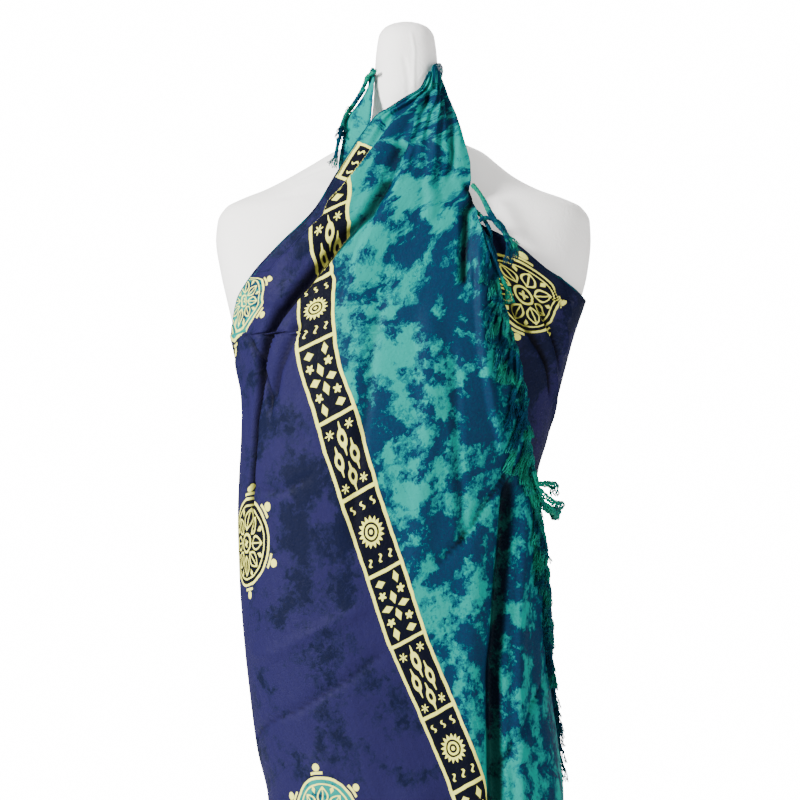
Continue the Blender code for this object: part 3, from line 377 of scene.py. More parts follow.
# Profiles of the stand's turned pieces, bottom to top: radius, height
BASE_PROFILE = (
    (0.0, 0.0), (0.150, 0.0), (0.1535, 0.0012), (0.155, 0.0045), (0.1545, 0.0085),
    (0.1515, 0.0120), (0.146, 0.0137), (0.135, 0.0140), (0.060, 0.0140), (0.0, 0.0140),
)
HUB_PROFILE = (
    (0.0, 0.0143), (0.0235, 0.0143), (0.0240, 0.0150), (0.0240, 0.0380), (0.0228, 0.0405),
    (0.0200, 0.0420), (0.0180, 0.0440), (0.0176, 0.0485), (0.0168, 0.0490), (0.0, 0.0490),
)
POLE_PROFILE = ((0.0, 0.0493), (0.0125, 0.0493), (0.0125, 0.6697), (0.0, 0.6697))
COLLAR_PROFILE = (
    (0.0, 0.6700), (0.0170, 0.6700), (0.0178, 0.6710), (0.0182, 0.6860), (0.0240, 0.6890),
    (0.0260, 0.6915), (0.0260, 0.6985), (0.0252, 0.6996), (0.0, 0.6996),
)

# The over band's middle, below the deep fold that crosses it: height, x, length along the cloth from its
# top edge, lean of the threads in degrees, and cloth taken up per length of surface
OVER_BAND = (
    (1.480, -0.0800, -0.020, 30, 1.00),
    (1.371, -0.0980, 0.100, 30, 1.00),
    (1.346, -0.0950, 0.128, 34, 1.10),
    (1.310, -0.0905, 0.172, 36, 1.30),
    (1.258, -0.0885, 0.222, 34, 1.32),
    (1.227, -0.0905, 0.262, 30, 1.34),
    (1.203, -0.0905, 0.295, 28, 1.30),
    (1.179, -0.0903, 0.320, 28, 1.16),
    (1.102, -0.0689, 0.400, 29, 1.08),
    (1.023, -0.0458, 0.480, 28, 1.14),
    (0.942, -0.0181, 0.560, 29, 1.18),
    (0.870, 0.0058, 0.640, 29, 1.19),
    (0.795, 0.0378, 0.720, 28, 1.21),
    (0.719, 0.0677, 0.800, 26, 1.21),
    (0.600, 0.1000, 0.912, 20, 1.10),
    (0.400, 0.1300, 1.100, 12, 1.00),
    (0.150, 0.1400, 1.330, 12, 1.00),
)
# The deep fold that crosses the band, and how much cloth it hides: x, z
CROSSING_FOLD = (
    (0.008, 1.392), (0.000, 1.375), (-0.011, 1.349), (-0.033, 1.312), (-0.062, 1.284), (-0.082, 1.261),
    (-0.100, 1.239), (-0.128, 1.206), (-0.141, 1.182), (-0.148, 1.150), (-0.154, 1.099),
    (-0.158, 1.040), (-0.160, 0.970),
)
CROSSING_FOLD_HIDES_U = 0.0155
CROSSING_FOLD_HIDES_V = 0.0130
# Length along the cloth at each height of the neckline edge
NECKLINE_THREADS = (
    (1.476, 0.140), (1.438, 0.180), (1.418, 0.225), (1.391, 0.3000), (1.371, 0.3235), (1.353, 0.347),
    (1.319, 0.385), (1.278, 0.430), (1.251, 0.460), (1.224, 0.490), (1.187, 0.520),
)
# How far the under layer's threads lie aside below the neck, where it turns under
UNDER_THREADS_ASIDE = 0.1365
# Threads of the under layer, in the same columns
UNDER_BAND = (
    (1.460, 0.0100, -0.210, -20, 1.0),
    (1.259, 0.1195, 0.000, -26, 1.0),
    (1.235, 0.1290, 0.026, -26, 1.0),
    (1.212, 0.1310, 0.050, -20, 1.0),
    (1.178, 0.1350, 0.090, -6, 1.0),
    (1.150, 0.1220, 0.120, 10, 1.0),
    (1.119, 0.1080, 0.152, 12, 1.0),
    (1.045, 0.1120, 0.226, 4, 1.0),
    (0.700, 0.1000, 0.570, 5, 1.0),
    (0.150, 0.0600, 1.120, 3, 1.0),
)


class Table:
    """Rows sorted by their first column, read at any key as smooth curves that never overshoot."""

    def __init__(self, rows):
        data = np.array(sorted(tuple(row) for row in rows), float)
        self.keys, self.values = data[:, 0], data[:, 1:]
        rise = np.diff(self.values, axis=0) / np.diff(self.keys)[:, None]
        before, after = rise[:-1], rise[1:]
        same_way = before * after > 0
        middle = np.where(same_way, 2 * before * after / np.where(same_way, before + after, 1), 0)
        self.slopes = np.vstack([rise[:1], middle, rise[-1:]])

    def __call__(self, key):
        key = np.clip(np.asarray(key, float), self.keys[0], self.keys[-1])
        low = np.clip(np.searchsorted(self.keys, key) - 1, 0, len(self.keys) - 2)
        span = (self.keys[low + 1] - self.keys[low])[..., None]
        t = (key - self.keys[low])[..., None] / span
        value = (
            (2 * t**3 - 3 * t**2 + 1) * self.values[low]
            + (t**3 - 2 * t**2 + t) * span * self.slopes[low]
            + (3 * t**2 - 2 * t**3) * self.values[low + 1]
            + (t**3 - t**2) * span * self.slopes[low + 1]
        )
        return np.moveaxis(value, -1, 0)


FORM_TABLE = Table(FORM)
WRAP_TABLE = Table(WRAP)
OVER_LIFT_TABLE = Table(OVER_LIFT)
NECKLINE_TABLE = Table(NECKLINE)
OVER_FRONT_TABLE = Table(OVER_END_IN_FRONT)
OVER_SIDE_TABLE = Table(OVER_END_ROUND_THE_SIDE)
UNDER_TOP_TABLE = Table(UNDER_TOP_EDGE)
UNDER_END_TABLE = Table(UNDER_END)
OVER_HEM_TABLE = Table(OVER_HEM)
BACK_HEM_TABLE = Table(BACK_HEM)
UNDER_HEM_TABLE = Table(UNDER_HEM)
NECKLINE_THREADS_TABLE = Table(NECKLINE_THREADS)
OVER_BAND_TABLE = Table(OVER_BAND)
UNDER_BAND_TABLE = Table(UNDER_BAND)


def smooth_step(low, high, value):
    """0 below low, 1 above high, and a soft rise between them."""
    t = np.clip((np.asarray(value, float) - low) / (high - low), 0.0, 1.0)
    return t * t * (3 - 2 * t)


def signed_power(value, power):
    """Power of a value that keeps its sign."""
    return np.sign(value) * np.abs(value) ** power


def soft_noise(x, y, seed):
    """Smooth hills and hollows from -1 to 1, about one unit wide."""
    heights = np.random.RandomState(seed).uniform(-1, 1, (64, 64))
    column, row = np.floor(x).astype(int), np.floor(y).astype(int)
    fx, fy = x - column, y - row
    fx, fy = fx * fx * (3 - 2 * fx), fy * fy * (3 - 2 * fy)
    near = heights[row % 64, column % 64] * (1 - fx) + heights[row % 64, (column + 1) % 64] * fx
    far = heights[(row + 1) % 64, column % 64] * (1 - fx) + heights[(row + 1) % 64, (column + 1) % 64] * fx
    return near * (1 - fy) + far * fy


def body_point(sections, angle, z, lift=0.0):
    """Points on a stack of sections at angles and heights, lifted off the surface."""
    left, right, front, back, middle = sections(z)
    turn = np.radians(angle)
    ahead = np.cos(turn)
    reach = np.where(ahead > 0, front + middle, back - middle) + lift
    x = (right - left) / 2 + ((right + left) / 2 + lift) * signed_power(np.sin(turn), 2 / ROUNDNESS)
    y = middle - reach * signed_power(ahead, 2 / ROUNDNESS)
    return np.stack([x, y, np.broadcast_to(z, x.shape)], axis=-1)


def angle_at(x, z, lift=0.0, sections=WRAP_TABLE):
    """Angle in front of the body where a layer with this lift has this x."""
    left, right = sections(z)[:2]
    share = np.clip((x - (right - left) / 2) / ((right + left) / 2 + lift), -1, 1)
    return np.degrees(np.arcsin(signed_power(share, ROUNDNESS / 2)))


def arc_radius(z):
    """Mean radius of the body, which turns angles into lengths."""
    return WRAP_TABLE(z)[:4].sum(axis=0) / 4


def seen_over(x, z):
    """Angle in front where the outer face of the over layer has this x."""
    return angle_at(x, z, OVER_LIFT_TABLE(z)[1] + FACE_LIFT)


def seen_under(x, z):
    """Angle in front where the outer face of the under layer has this x."""
    return angle_at(x, z, FACE_LIFT)


def seen_form(x, z):
    """Angle in front where the form itself has this x."""
    return angle_at(x, z, 0.0, FORM_TABLE)


def fold_lines(folds, to_angle):
    """Folds with their paths as (angle, z)."""
    return [fold._replace(path=[(float(to_angle(x, z)), z) for x, z in fold.path]) for fold in folds]


def along_path(path, angle, z):
    """Distance from a path of (angle, z), which side of it a place is on, and how far along it."""
    radius = arc_radius(z)
    nearest = np.full(np.shape(angle), np.inf)
    side = np.zeros(np.shape(angle))
    share = np.zeros(np.shape(angle))
    for index, (start, end) in enumerate(zip(path, path[1:])):
        ax, az = np.radians(end[0] - start[0]) * radius, end[1] - start[1]
        hx, hz = np.radians(angle - start[0]) * radius, z - start[1]
        t = np.clip((hx * ax + hz * az) / (ax**2 + az**2), 0, 1)
        ox, oz = hx - t * ax, hz - t * az
        distance = np.hypot(ox, oz)
        closer = distance < nearest
        nearest = np.where(closer, distance, nearest)
        side = np.where(closer, ox * az - oz * ax, side)
        share = np.where(closer, (index + t) / (len(path) - 1), share)
    return nearest, side, share


def fold_height(lines, angle, z):
    """Sum of the folds at places: a ridge or trough along each path, fading at its ends."""
    total = np.zeros(np.shape(angle))
    for fold in lines:
        distance, side, share = along_path(fold.path, angle, z)
        reach = np.where(side > 0, fold.left, fold.right)
        fade = smooth_step(0, 0.16, share) * smooth_step(0, 0.12, 1.02 - share)
        near = np.clip(distance / reach, 0, 1)
        total += fold.depth * fade * (1 + np.cos(np.pi * near)) / 2
    return total


OVER_LINES = fold_lines(OVER_FOLDS, seen_over)
UNDER_LINES = fold_lines(UNDER_FOLDS, seen_under)
COVER_LINES = fold_lines(COVER_FOLDS, seen_form)
TUCK = [(float(seen_over(x, z)), z) for x, z in TUCK_LINE]
CROSSING = [(float(seen_over(x, z)), z) for x, z in CROSSING_FOLD]


def over_left(z):
    """Angle of the over layer's left boundary: the neckline, then the left side."""
    neckline = angle_at(NECKLINE_TABLE(z)[0], z, OVER_LIFT_TABLE(z)[0] + FACE_LIFT)
    return np.where(z <= LEFT_ARMHOLE, -90.0, neckline)


def over_end(z):
    """Angle of the over layer's fringed end."""
    return np.where(z > OVER_END_TURNS, seen_over(OVER_FRONT_TABLE(z)[0], z), OVER_SIDE_TABLE(z)[0])


def over_lift(angle, z):
    """Lift of the over layer without its folds."""
    edge, front, side, ramp = OVER_LIFT_TABLE(z)
    left = over_left(z)
    inward = smooth_step(0, 1, (angle - left) / ramp)
    sideways = smooth_step(SIDE_LIFT_FROM, SIDE_LIFT_TO, angle)
    return edge + (front + (side - front) * sideways - edge) * inward


def small_wrinkles(angle, z, seed):
    """Fine unevenness of worn rayon: long shallow waves that run down the cloth, with small dents."""
    x = np.radians(angle) * 0.15
    long_waves = soft_noise(x / 0.022 + z * 3.1, z / 0.11, seed)
    short_waves = soft_noise(x / 0.009 + z * 6.0, z / 0.034, seed + 1)
    return 0.00055 * long_waves + 0.00024 * short_waves


def over_gathers(angle, z):
    """Fine pleats that spread from the tie at the right of the neck."""
    left, right = over_left(z), over_end(z)
    share = np.clip((angle - left) / np.maximum(right - left, 1e-6), 0, 1)
    near_neck = smooth_step(1.335, 1.450, z)
    pleats = np.sin(2 * np.pi * (6.5 * share**0.85 + 0.35 * np.sin(9 * share) + 2.0 * z))
    return 0.0019 * near_neck * pleats * smooth_step(0, 0.12, share) * smooth_step(0, 0.1, 1.02 - share)


def over_point(angle, z, extra=0.0):
    """Points in the over layer's outer face. At the left side they keep to their half of the seam."""
    angle, z = np.asarray(angle, float), np.asarray(z, float)
    fade = np.where(z <= LEFT_ARMHOLE, smooth_step(-90, -78, angle), 1.0)
    folds = fold_height(OVER_LINES, angle, z) + small_wrinkles(angle, z, 11) + over_gathers(angle, z)
    point = body_point(WRAP_TABLE, angle, z, over_lift(angle, z) + folds * fade + CLOTH_LIFT + extra)
    point[..., 1] = np.where(angle < -45, np.minimum(point[..., 1], -0.0002), point[..., 1])
    return point


def under_left(z):
    """Angle of the under layer's fringed end."""
    return seen_under(UNDER_END_TABLE(z)[0], z)


def under_right(z):
    """Angle of the under layer's right boundary: its top edge, then the right side."""
    return np.where(z <= RIGHT_ARMHOLE, 90.0, seen_under(UNDER_TOP_TABLE(z)[0], z))


def under_point(angle, z, extra=0.0):
    """Points in the under layer's outer face."""
    angle, z = np.asarray(angle, float), np.asarray(z, float)
    fade = 1.0 - smooth_step(78, 90, angle)
    folds = fold_height(UNDER_LINES, angle, z) + small_wrinkles(angle, z, 23)
    folds = folds - 0.0042 * smooth_step(3, 14, over_end(z) - angle) * smooth_step(1.42, 1.38, z)
    point = body_point(WRAP_TABLE, angle, z, folds * fade + CLOTH_LIFT + extra)
    point[..., 1] = np.where(angle > 45, np.minimum(point[..., 1], -0.0002), point[..., 1])
    return point


def back_point(angle, z, extra=0.0):
    """Points in the back's outer face."""
    angle, z = np.asarray(angle, float), np.asarray(z, float)
    fade = smooth_step(90, 102, angle) * (1.0 - smooth_step(258, 270, angle))
    folds = fold_height(BACK_FOLDS, angle, z) + small_wrinkles(angle, z, 37)
    point = body_point(WRAP_TABLE, angle, z, folds * fade + CLOTH_LIFT + extra)
    aside = (angle < 135) | (angle > 225)
    point[..., 1] = np.where(aside, np.maximum(point[..., 1], 0.0002), point[..., 1])
    return point


def row_height(level, hem):
    """Height of a row at one place: its level down to the start of the skirt, then shared out to the hem."""
    return np.where(level >= SKIRT_START, level, SKIRT_START + (hem - SKIRT_START) * (SKIRT_START - level))


def row_end(end_angle, hems, level):
    """Angle at which rows meet a slanting end, at the height that each row has there."""
    angle = end_angle(level)
    for _ in range(4):
        angle = end_angle(row_height(level, hems(angle)[0]))
    return angle


def threads_beside_band(points, angle, band, band_angle, band_u, side):
    """Lengths along the cloth for rows of points, measured from the stamped band's middle line.

    Side is 1 where u grows to the left of the band, and -1 where it grows to the right.
    """
    steps = np.linalg.norm(np.diff(points, axis=1), axis=2)
    arc = np.concatenate([np.zeros((len(points), 1)), np.cumsum(steps, axis=1)], axis=1)
    u, v = np.zeros(arc.shape), np.zeros(arc.shape)
    for row in range(len(points)):
        z = points[row, :, 2]
        middle = np.interp(band_angle[row], angle[row], arc[row])
        beyond_left = np.minimum(band_angle[row] - angle[row, 0], 0.0)
        middle = middle + np.radians(beyond_left) * arc_radius(z[0])
        _, length, lean, taken = band(z)
        away = middle - arc[row]
        u[row] = band_u + side * away * np.cos(np.radians(lean)) * taken
        v[row] = length - away * np.sin(np.radians(lean))
    return u, v


def threads_beside_neckline(points):
    """Lengths along the cloth in the strip beside the neckline, measured from its folded edge."""
    heights = np.linspace(LEFT_ARMHOLE, NECKLINE[0][0], 700)
    edge = over_point(over_left(heights), heights)
    edge_u = NECKLINE_THREADS_TABLE(heights)[0]
    u, v = np.zeros(points.shape[:2]), np.zeros(points.shape[:2])
    for row in range(len(points)):
        if points[row, 0, 2] < LEFT_ARMHOLE:
            continue
        far = np.linalg.norm(points[row][:, None] - edge[None], axis=2)
        nearest = far.argmin(axis=1)
        u[row] = edge_u[nearest]
        v[row] = far.min(axis=1)
    return u, v


def srgb(red, green, blue):
    """Colour as light, from the 0 to 255 values of a picture."""
    return tuple((channel / 255 / 12.92) if channel <= 10 else ((channel / 255 + 0.055) / 1.055) ** 2.4
                 for channel in (red, green, blue)) + (1.0,)


class Numbers:
    """Numbers that vary over a surface, worked out by nodes. Plain arithmetic makes more nodes."""

    def __init__(self, tree, socket):
        self.tree, self.socket = tree, socket

    def make(self, operation, *others):
        node = self.tree.nodes.new("ShaderNodeMath")
        node.operation = operation
        for socket, value in zip(node.inputs, (self, *others)):
            if isinstance(value, Numbers):
                self.tree.links.new(value.socket, socket)
            else:
                socket.default_value = value
        return Numbers(self.tree, node.outputs[0])

    def __add__(self, other):
        return self.make("ADD", other)

    def __sub__(self, other):
        return self.make("SUBTRACT", other)

    def __mul__(self, other):
        return self.make("MULTIPLY", other)

    def __truediv__(self, other):
        return self.make("DIVIDE", other)

    def __neg__(self):
        return self.make("MULTIPLY", -1.0)

    def __abs__(self):
        return self.make("ABSOLUTE")

    def less_of(self, other):
        return self.make("MINIMUM", other)

    def more_of(self, other):
        return self.make("MAXIMUM", other)

    def sine(self):
        return self.make("SINE")

    def cosine(self):
        return self.make("COSINE")

    def whole(self):
        return self.make("FLOOR")

    def within(self, period):
        """What is left after whole periods, from 0 to the period."""
        return self - (self / period).whole() * period

    def angle_to(self, other):
        return self.make("ARCTAN2", other)

    def length_with(self, other):
        return (self * self + other * other).make("SQRT")

    def rise(self, low, high):
        """0 at low, 1 at high, soft between. High may be below low."""
        node = self.tree.nodes.new("ShaderNodeMapRange")
        node.interpolation_type = "SMOOTHSTEP"
        self.tree.links.new(self.socket, node.inputs["Value"])
        for name, value in (("From Min", low), ("From Max", high)):
            if isinstance(value, Numbers):
                self.tree.links.new(value.socket, node.inputs[name])
            else:
                node.inputs[name].default_value = value
        return Numbers(self.tree, node.outputs["Result"])


def noise(tree, vector, scale, detail=3.0, roughness=0.5, distortion=0.0):
    """Cloudy numbers from 0 to 1, as a node output pair of number and colour."""
    node = tree.nodes.new("ShaderNodeTexNoise")
    tree.links.new(vector, node.inputs["Vector"])
    node.inputs["Scale"].default_value = scale
    node.inputs["Detail"].default_value = detail
    node.inputs["Roughness"].default_value = roughness
    node.inputs["Distortion"].default_value = distortion
    return Numbers(tree, node.outputs["Fac"]), node.outputs["Color"]


def split(tree, vector):
    """The three parts of a vector."""
    node = tree.nodes.new("ShaderNodeSeparateXYZ")
    tree.links.new(vector, node.inputs[0])
    return [Numbers(tree, output) for output in node.outputs]


def combine(tree, *parts):
    """A vector from up to three parts."""
    node = tree.nodes.new("ShaderNodeCombineXYZ")
    for socket, part in zip(node.inputs, parts):
        if isinstance(part, Numbers):
            tree.links.new(part.socket, socket)
        else:
            socket.default_value = part
    return node.outputs[0]


def blend_colours(tree, share, first, second):
    """First where the share is 0, second where it is 1. Each is a colour or a colour socket."""
    node = tree.nodes.new("ShaderNodeMix")
    node.data_type = "RGBA"
    share_socket = share.socket if isinstance(share, Numbers) else share
    tree.links.new(share_socket, node.inputs["Factor"])
    for socket, colour in ((node.inputs[6], first), (node.inputs[7], second)):
        if isinstance(colour, bpy.types.NodeSocket):
            tree.links.new(colour, socket)
        else:
            socket.default_value = colour
    return node.outputs[2]


def new_group(name, inputs, outputs):
    """Shader node group with named sockets. Returns the tree, its input node and its output node."""
    tree = bpy.data.node_groups.new(name, "ShaderNodeTree")
    for label, kind, value in inputs:
        socket = tree.interface.new_socket(name=label, in_out="INPUT", socket_type=kind)
        if value is not None:
            socket.default_value = value
    for label, kind in outputs:
        tree.interface.new_socket(name=label, in_out="OUTPUT", socket_type=kind)
    return tree, tree.nodes.new("NodeGroupInput"), tree.nodes.new("NodeGroupOutput")


def place_group(tree, group, values):
    """Put a group in a tree with its own values. Each value is a plain value or a socket."""
    node = tree.nodes.new("ShaderNodeGroup")
    node.node_tree = group
    for label, value in values.items():
        if isinstance(value, Numbers):
            tree.links.new(value.socket, node.inputs[label])
        elif isinstance(value, bpy.types.NodeSocket):
            tree.links.new(value, node.inputs[label])
        else:
            node.inputs[label].default_value = value
    return node


FLOAT = "NodeSocketFloat"
COLOUR = "NodeSocketColor"
VECTOR = "NodeSocketVector"


def tie_dye_group():
    """Blotches of dye with feathery edges, as crumpled cloth takes it."""
    group, given, out = new_group(
        "tie_dye",
        (
            ("Threads", VECTOR, None),
            ("Light Dye", COLOUR, (0.1, 0.6, 0.5, 1)),
            ("Middle Dye", COLOUR, (0.05, 0.3, 0.3, 1)),
            ("Dark Dye", COLOUR, (0.02, 0.1, 0.2, 1)),
            ("Patch Scale", FLOAT, 24.0),
            ("Dark Share", FLOAT, 0.5),
            ("Offset", VECTOR, (0, 0, 0)),
        ),
        (("Dye", COLOUR), ("Dark", FLOAT)),
    )
    shift = group.nodes.new("ShaderNodeVectorMath")
    group.links.new(given.outputs["Threads"], shift.inputs[0])
    group.links.new(given.outputs["Offset"], shift.inputs[1])
    scaled = group.nodes.new("ShaderNodeVectorMath")
    scaled.operation = "SCALE"
    group.links.new(shift.outputs[0], scaled.inputs[0])
    group.links.new(given.outputs["Patch Scale"], scaled.inputs["Scale"])
    place = scaled.outputs[0]

    crumple = group.nodes.new("ShaderNodeTexNoise")
    group.links.new(place, crumple.inputs["Vector"])
    crumple.inputs["Scale"].default_value = 3.4
    crumple.inputs["Detail"].default_value = 4.0
    crumple.inputs["Roughness"].default_value = 0.66
    pushed = group.nodes.new("ShaderNodeVectorMath")
    pushed.operation = "MULTIPLY_ADD"
    group.links.new(crumple.outputs["Color"], pushed.inputs[0])
    pushed.inputs[1].default_value = (0.62, 0.62, 0.62)
    group.links.new(place, pushed.inputs[2])

    clouds = noise(group, place, 0.28, 2.0, 0.5)[0]
    patches = noise(group, pushed.outputs[0], 1.15, 3.0, 0.6)[0]
    feathers = noise(group, pushed.outputs[0], 7.0, 4.0, 0.72)[0]
    flecks = noise(group, pushed.outputs[0], 17.0, 3.0, 0.7)[0]
    level = (clouds - 0.5) * 0.62 + patches + (feathers - 0.5) * 0.44 + (flecks - 0.5) * 0.12
    level = level + Numbers(group, given.outputs["Dark Share"]) - 1.0
    dark = level.rise(0.005, 0.060)
    middle = level.rise(-0.085, 0.015)
    middle_share = middle * (flecks.rise(0.36, 0.60) * 0.35 + 0.60)
    dark_share = dark * (flecks.rise(0.66, 0.46) * 0.30 + 0.70)
    first = blend_colours(group, middle_share, given.outputs["Light Dye"], given.outputs["Middle Dye"])
    dye = blend_colours(group, dark_share, first, given.outputs["Dark Dye"])
    group.links.new(dye, out.inputs["Dye"])
    group.links.new(dark_share.socket, out.inputs["Dark"])
    return group


def wobbled(tree, threads, size, amount):
    """Threads pushed about a little, as a hand stamp leaves its lines. Returns u and v."""
    push = noise(tree, threads, 1.0 / size, 2.0)[1]
    node = tree.nodes.new("ShaderNodeVectorMath")
    node.operation = "MULTIPLY_ADD"
    tree.links.new(push, node.inputs[0])
    node.inputs[1].default_value = (amount, amount, 0)
    tree.links.new(threads, node.inputs[2])
    u, v, _ = split(tree, node.outputs[0])
    return u - amount / 2, v - amount / 2


# Half the width of a stamped line's soft edge
LINE_SOFTNESS = 0.00035


def inside(distance, softness=LINE_SOFTNESS):
    """1 where a distance is below 0, with a soft edge."""
    return distance.rise(softness, -softness)


def ring(radius, middle, half_width):
    """1 on a ring."""
    return inside(abs(radius - middle) - half_width)


def diamond(x, y, half_width, half_height):
    """1 inside a diamond."""
    return inside((abs(x) / half_width + abs(y) / half_height - 1.0) * min(half_width, half_height) * 0.7)


def flower(x, y, radius, petals, depth):
    """1 inside a small flower with round petals."""
    turn = y.angle_to(x)
    wave = (turn * petals).cosine() * depth + (1.0 - depth)
    return inside(x.length_with(y) - wave * radius)


def spindle(x, y, half_width, half_length):
    """1 inside a shape that swells in the middle and is drawn out to points, with an eye in it."""
    belly = (x / half_width).length_with(y / (half_length * 0.56)) - 1.0
    shoulders = inside(belly * half_width)
    tail_width = (abs(y) / half_length * -1.0 + 1.0) * 0.0022 + 0.0004
    tails = inside(abs(x) - tail_width) * inside(abs(y) - half_length)
    eye = inside(((x / 0.0022).length_with(y / 0.0040) - 1.0) * 0.0022)
    return (shoulders + tails).less_of(1.0) * (eye * -1.0 + 1.0)


def squiggle(x, y):
    """1 on a short wavy stroke."""
    bend = (y * 780.0).sine() * 0.0015
    return inside(abs(x - bend) - 0.00125) * inside(abs(y) - 0.0040)


def stamped_band_group():
    """The stamped band: framed panels with a sun, diamonds and flowers, or spindles, in turn."""
    group, given, out = new_group(
        "stamped_band",
        (("Threads", VECTOR, None),),
        (("Wax", FLOAT), ("Ground", FLOAT)),
    )
    u, v = wobbled(group, given.outputs["Threads"], 0.016, 0.0022)
    folded = u.less_of(u * -1.0 + FLAT_WIDTH)
    x = folded - BAND_MIDDLE
    y = v.within(PANEL_PITCH) - PANEL_PITCH / 2
    number = (v / PANEL_PITCH).whole()
    kind = number.within(3.0)
    on_cloth = v.rise(0.0012, 0.0022)
    in_band = inside(abs(x) - BAND_HALF_WIDTH) * on_cloth
    rails = inside(abs(abs(x) - (BAND_HALF_WIDTH - 0.0019)) - 0.0019)
    dividers = inside(abs(abs(y) - PANEL_PITCH / 2) - 0.0019)
    top_rail = inside(abs(v - 0.0045) - 0.0017)

    radius, turn = x.length_with(y), y.angle_to(x)
    teeth = abs(((turn / (2 * math.pi / 17)).within(1.0) - 0.5) * 2.0)
    body = inside(radius - (teeth * 0.0046 + 0.0108)) * inside(radius * -1.0 + 0.0092)
    sun = (body + ring(radius, 0.0058, 0.0012) + inside(radius - 0.0022)).less_of(1.0)
    row = abs(y) - 0.0268
    strokes = (squiggle(x, row) + squiggle(x - 0.0125, row) + squiggle(x + 0.0125, row)).less_of(1.0)
    sun_panel = (sun + strokes).less_of(1.0)

    ax, ay = abs(x), abs(y)
    cross = (diamond(x, ay - 0.0100, 0.0041, 0.0074) + diamond(ax - 0.0100, y, 0.0066, 0.0043)).less_of(1.0)
    blooms = flower(ax - 0.0112, ay - 0.0155, 0.0049, 5.0, 0.24)
    upright = diamond(x + y.make("SIGN") * -0.0095, ay - 0.0292, 0.0040, 0.0068)
    flat = diamond(x + y.make("SIGN") * 0.0095, ay - 0.0286, 0.0060, 0.0046)
    diamond_panel = (cross + blooms + upright + flat).less_of(1.0)

    spindles = (
        spindle(x, y + 0.0165, 0.0050, 0.0178)
        + spindle(x + 0.0088, y - 0.0030, 0.0048, 0.0165)
        + spindle(x - 0.0100, y - 0.0038, 0.0048, 0.0160)
        + spindle(x - 0.0005, y - 0.0225, 0.0046, 0.0150)
    ).less_of(1.0)
    stars = (
        flower(x + 0.0108, y + 0.0275, 0.0050, 6.0, 0.42)
        + flower(x - 0.0122, y + 0.0255, 0.0050, 6.0, 0.42)
        + flower(x + 0.0108, y - 0.0290, 0.0048, 6.0, 0.42)
        + flower(x - 0.0128, y - 0.0305, 0.0048, 6.0, 0.42)
    )
    spindle_panel = (spindles + stars).less_of(1.0)

    is_sun = inside(kind - 0.5, 0.1)
    is_spindle = inside(kind * -1.0 + 1.5, 0.1)
    is_diamond = is_sun * -1.0 - is_spindle + 1.0
    motif = sun_panel * is_sun + diamond_panel * is_diamond + spindle_panel * is_spindle
    wax = (motif + rails + dividers + top_rail).less_of(1.0) * in_band
    group.links.new(wax.socket, out.inputs["Wax"])
    group.links.new(in_band.socket, out.inputs["Ground"])
    return group


# Middle of each rosette as u, v. Every other one has a teal ground
ROSETTES = (
    (0.460, 0.204), (0.483, 0.458), (0.503, 0.764), (1.062, 0.034), (0.720, 0.700), (0.880, 0.560),
    (1.080, 0.235), (1.060, 0.620), (0.880, 0.880), (0.600, 0.940), (1.060, 0.900), (0.720, 0.420),
)


def rosette_group():
    """Stamped round rosettes: two rings, leaf petals with spokes, a ringed centre, and dots outside."""
    group, given, out = new_group(
        "rosettes",
        (("Threads", VECTOR, None),),
        (("Wax", FLOAT), ("Ground", FLOAT), ("Teal Ground", FLOAT)),
    )
    u, v = wobbled(group, given.outputs["Threads"], 0.018, 0.0030)
    dx, dy, nearest, teal = None, None, None, None
    for index, (centre_u, centre_v) in enumerate(ROSETTES):
        px, py = (u - centre_u) * 0.92, (v - centre_v) * 0.92
        far = px.length_with(py)
        if nearest is None:
            dx, dy, nearest = px, py, far
            teal = far * 0.0 + 1.0
            continue
        closer = inside(far - nearest, 0.00001)
        dx = dx + (px - dx) * closer
        dy = dy + (py - dy) * closer
        teal = teal + (teal * -1.0 + float(index % 2 == 0)) * closer
        nearest = nearest.less_of(far)
    radius, turn = nearest, dy.angle_to(dx)
    sector = (turn / (2 * math.pi / 8)).within(1.0) - 0.5
    across = sector * (2 * math.pi / 8) * radius
    leaf_share = ((radius - 0.0105) / 0.0195)
    leaf_width = (leaf_share * math.pi).sine().more_of(0.0) * 0.0066
    leaf = inside(abs(across) - leaf_width) * inside(abs(leaf_share - 0.5) - 0.5, 0.02)
    vein = inside(abs(across) - leaf_width + 0.0018) * inside(abs(leaf_share - 0.47) - 0.34, 0.02)
    spine = inside(abs(across) - 0.0006) * inside(abs(radius - 0.0190) - 0.0068)
    petals = (leaf - vein + spine * vein).more_of(0.0).less_of(1.0)
    between = (turn / (2 * math.pi / 8) + 0.5).within(1.0) - 0.5
    darts = diamond(between * (2 * math.pi / 8) * radius, radius - 0.0285, 0.0022, 0.0042)
    centre = (ring(radius, 0.0078, 0.0011) + flower(dx, dy, 0.0042, 4.0, 0.3)).less_of(1.0)
    rings = (ring(radius, 0.0385, 0.0016) + ring(radius, 0.0322, 0.0008)).less_of(1.0)
    knob_turn = (turn / (2 * math.pi / 6) + 0.25).within(1.0) - 0.5
    knob_across = knob_turn * (2 * math.pi / 6) * radius
    knobs = (
        inside(knob_across.length_with(radius - 0.0485) - 0.0038)
        + inside(abs(knob_across) - 0.0070) * inside(abs(radius - 0.0430) - 0.0013)
    ).less_of(1.0)
    within_ring = inside(radius - 0.0395)
    wax = ((petals + darts + centre + rings).less_of(1.0) * within_ring + knobs).less_of(1.0)
    group.links.new(wax.socket, out.inputs["Wax"])
    group.links.new(within_ring.socket, out.inputs["Ground"])
    group.links.new((teal * within_ring).socket, out.inputs["Teal Ground"])
    return group


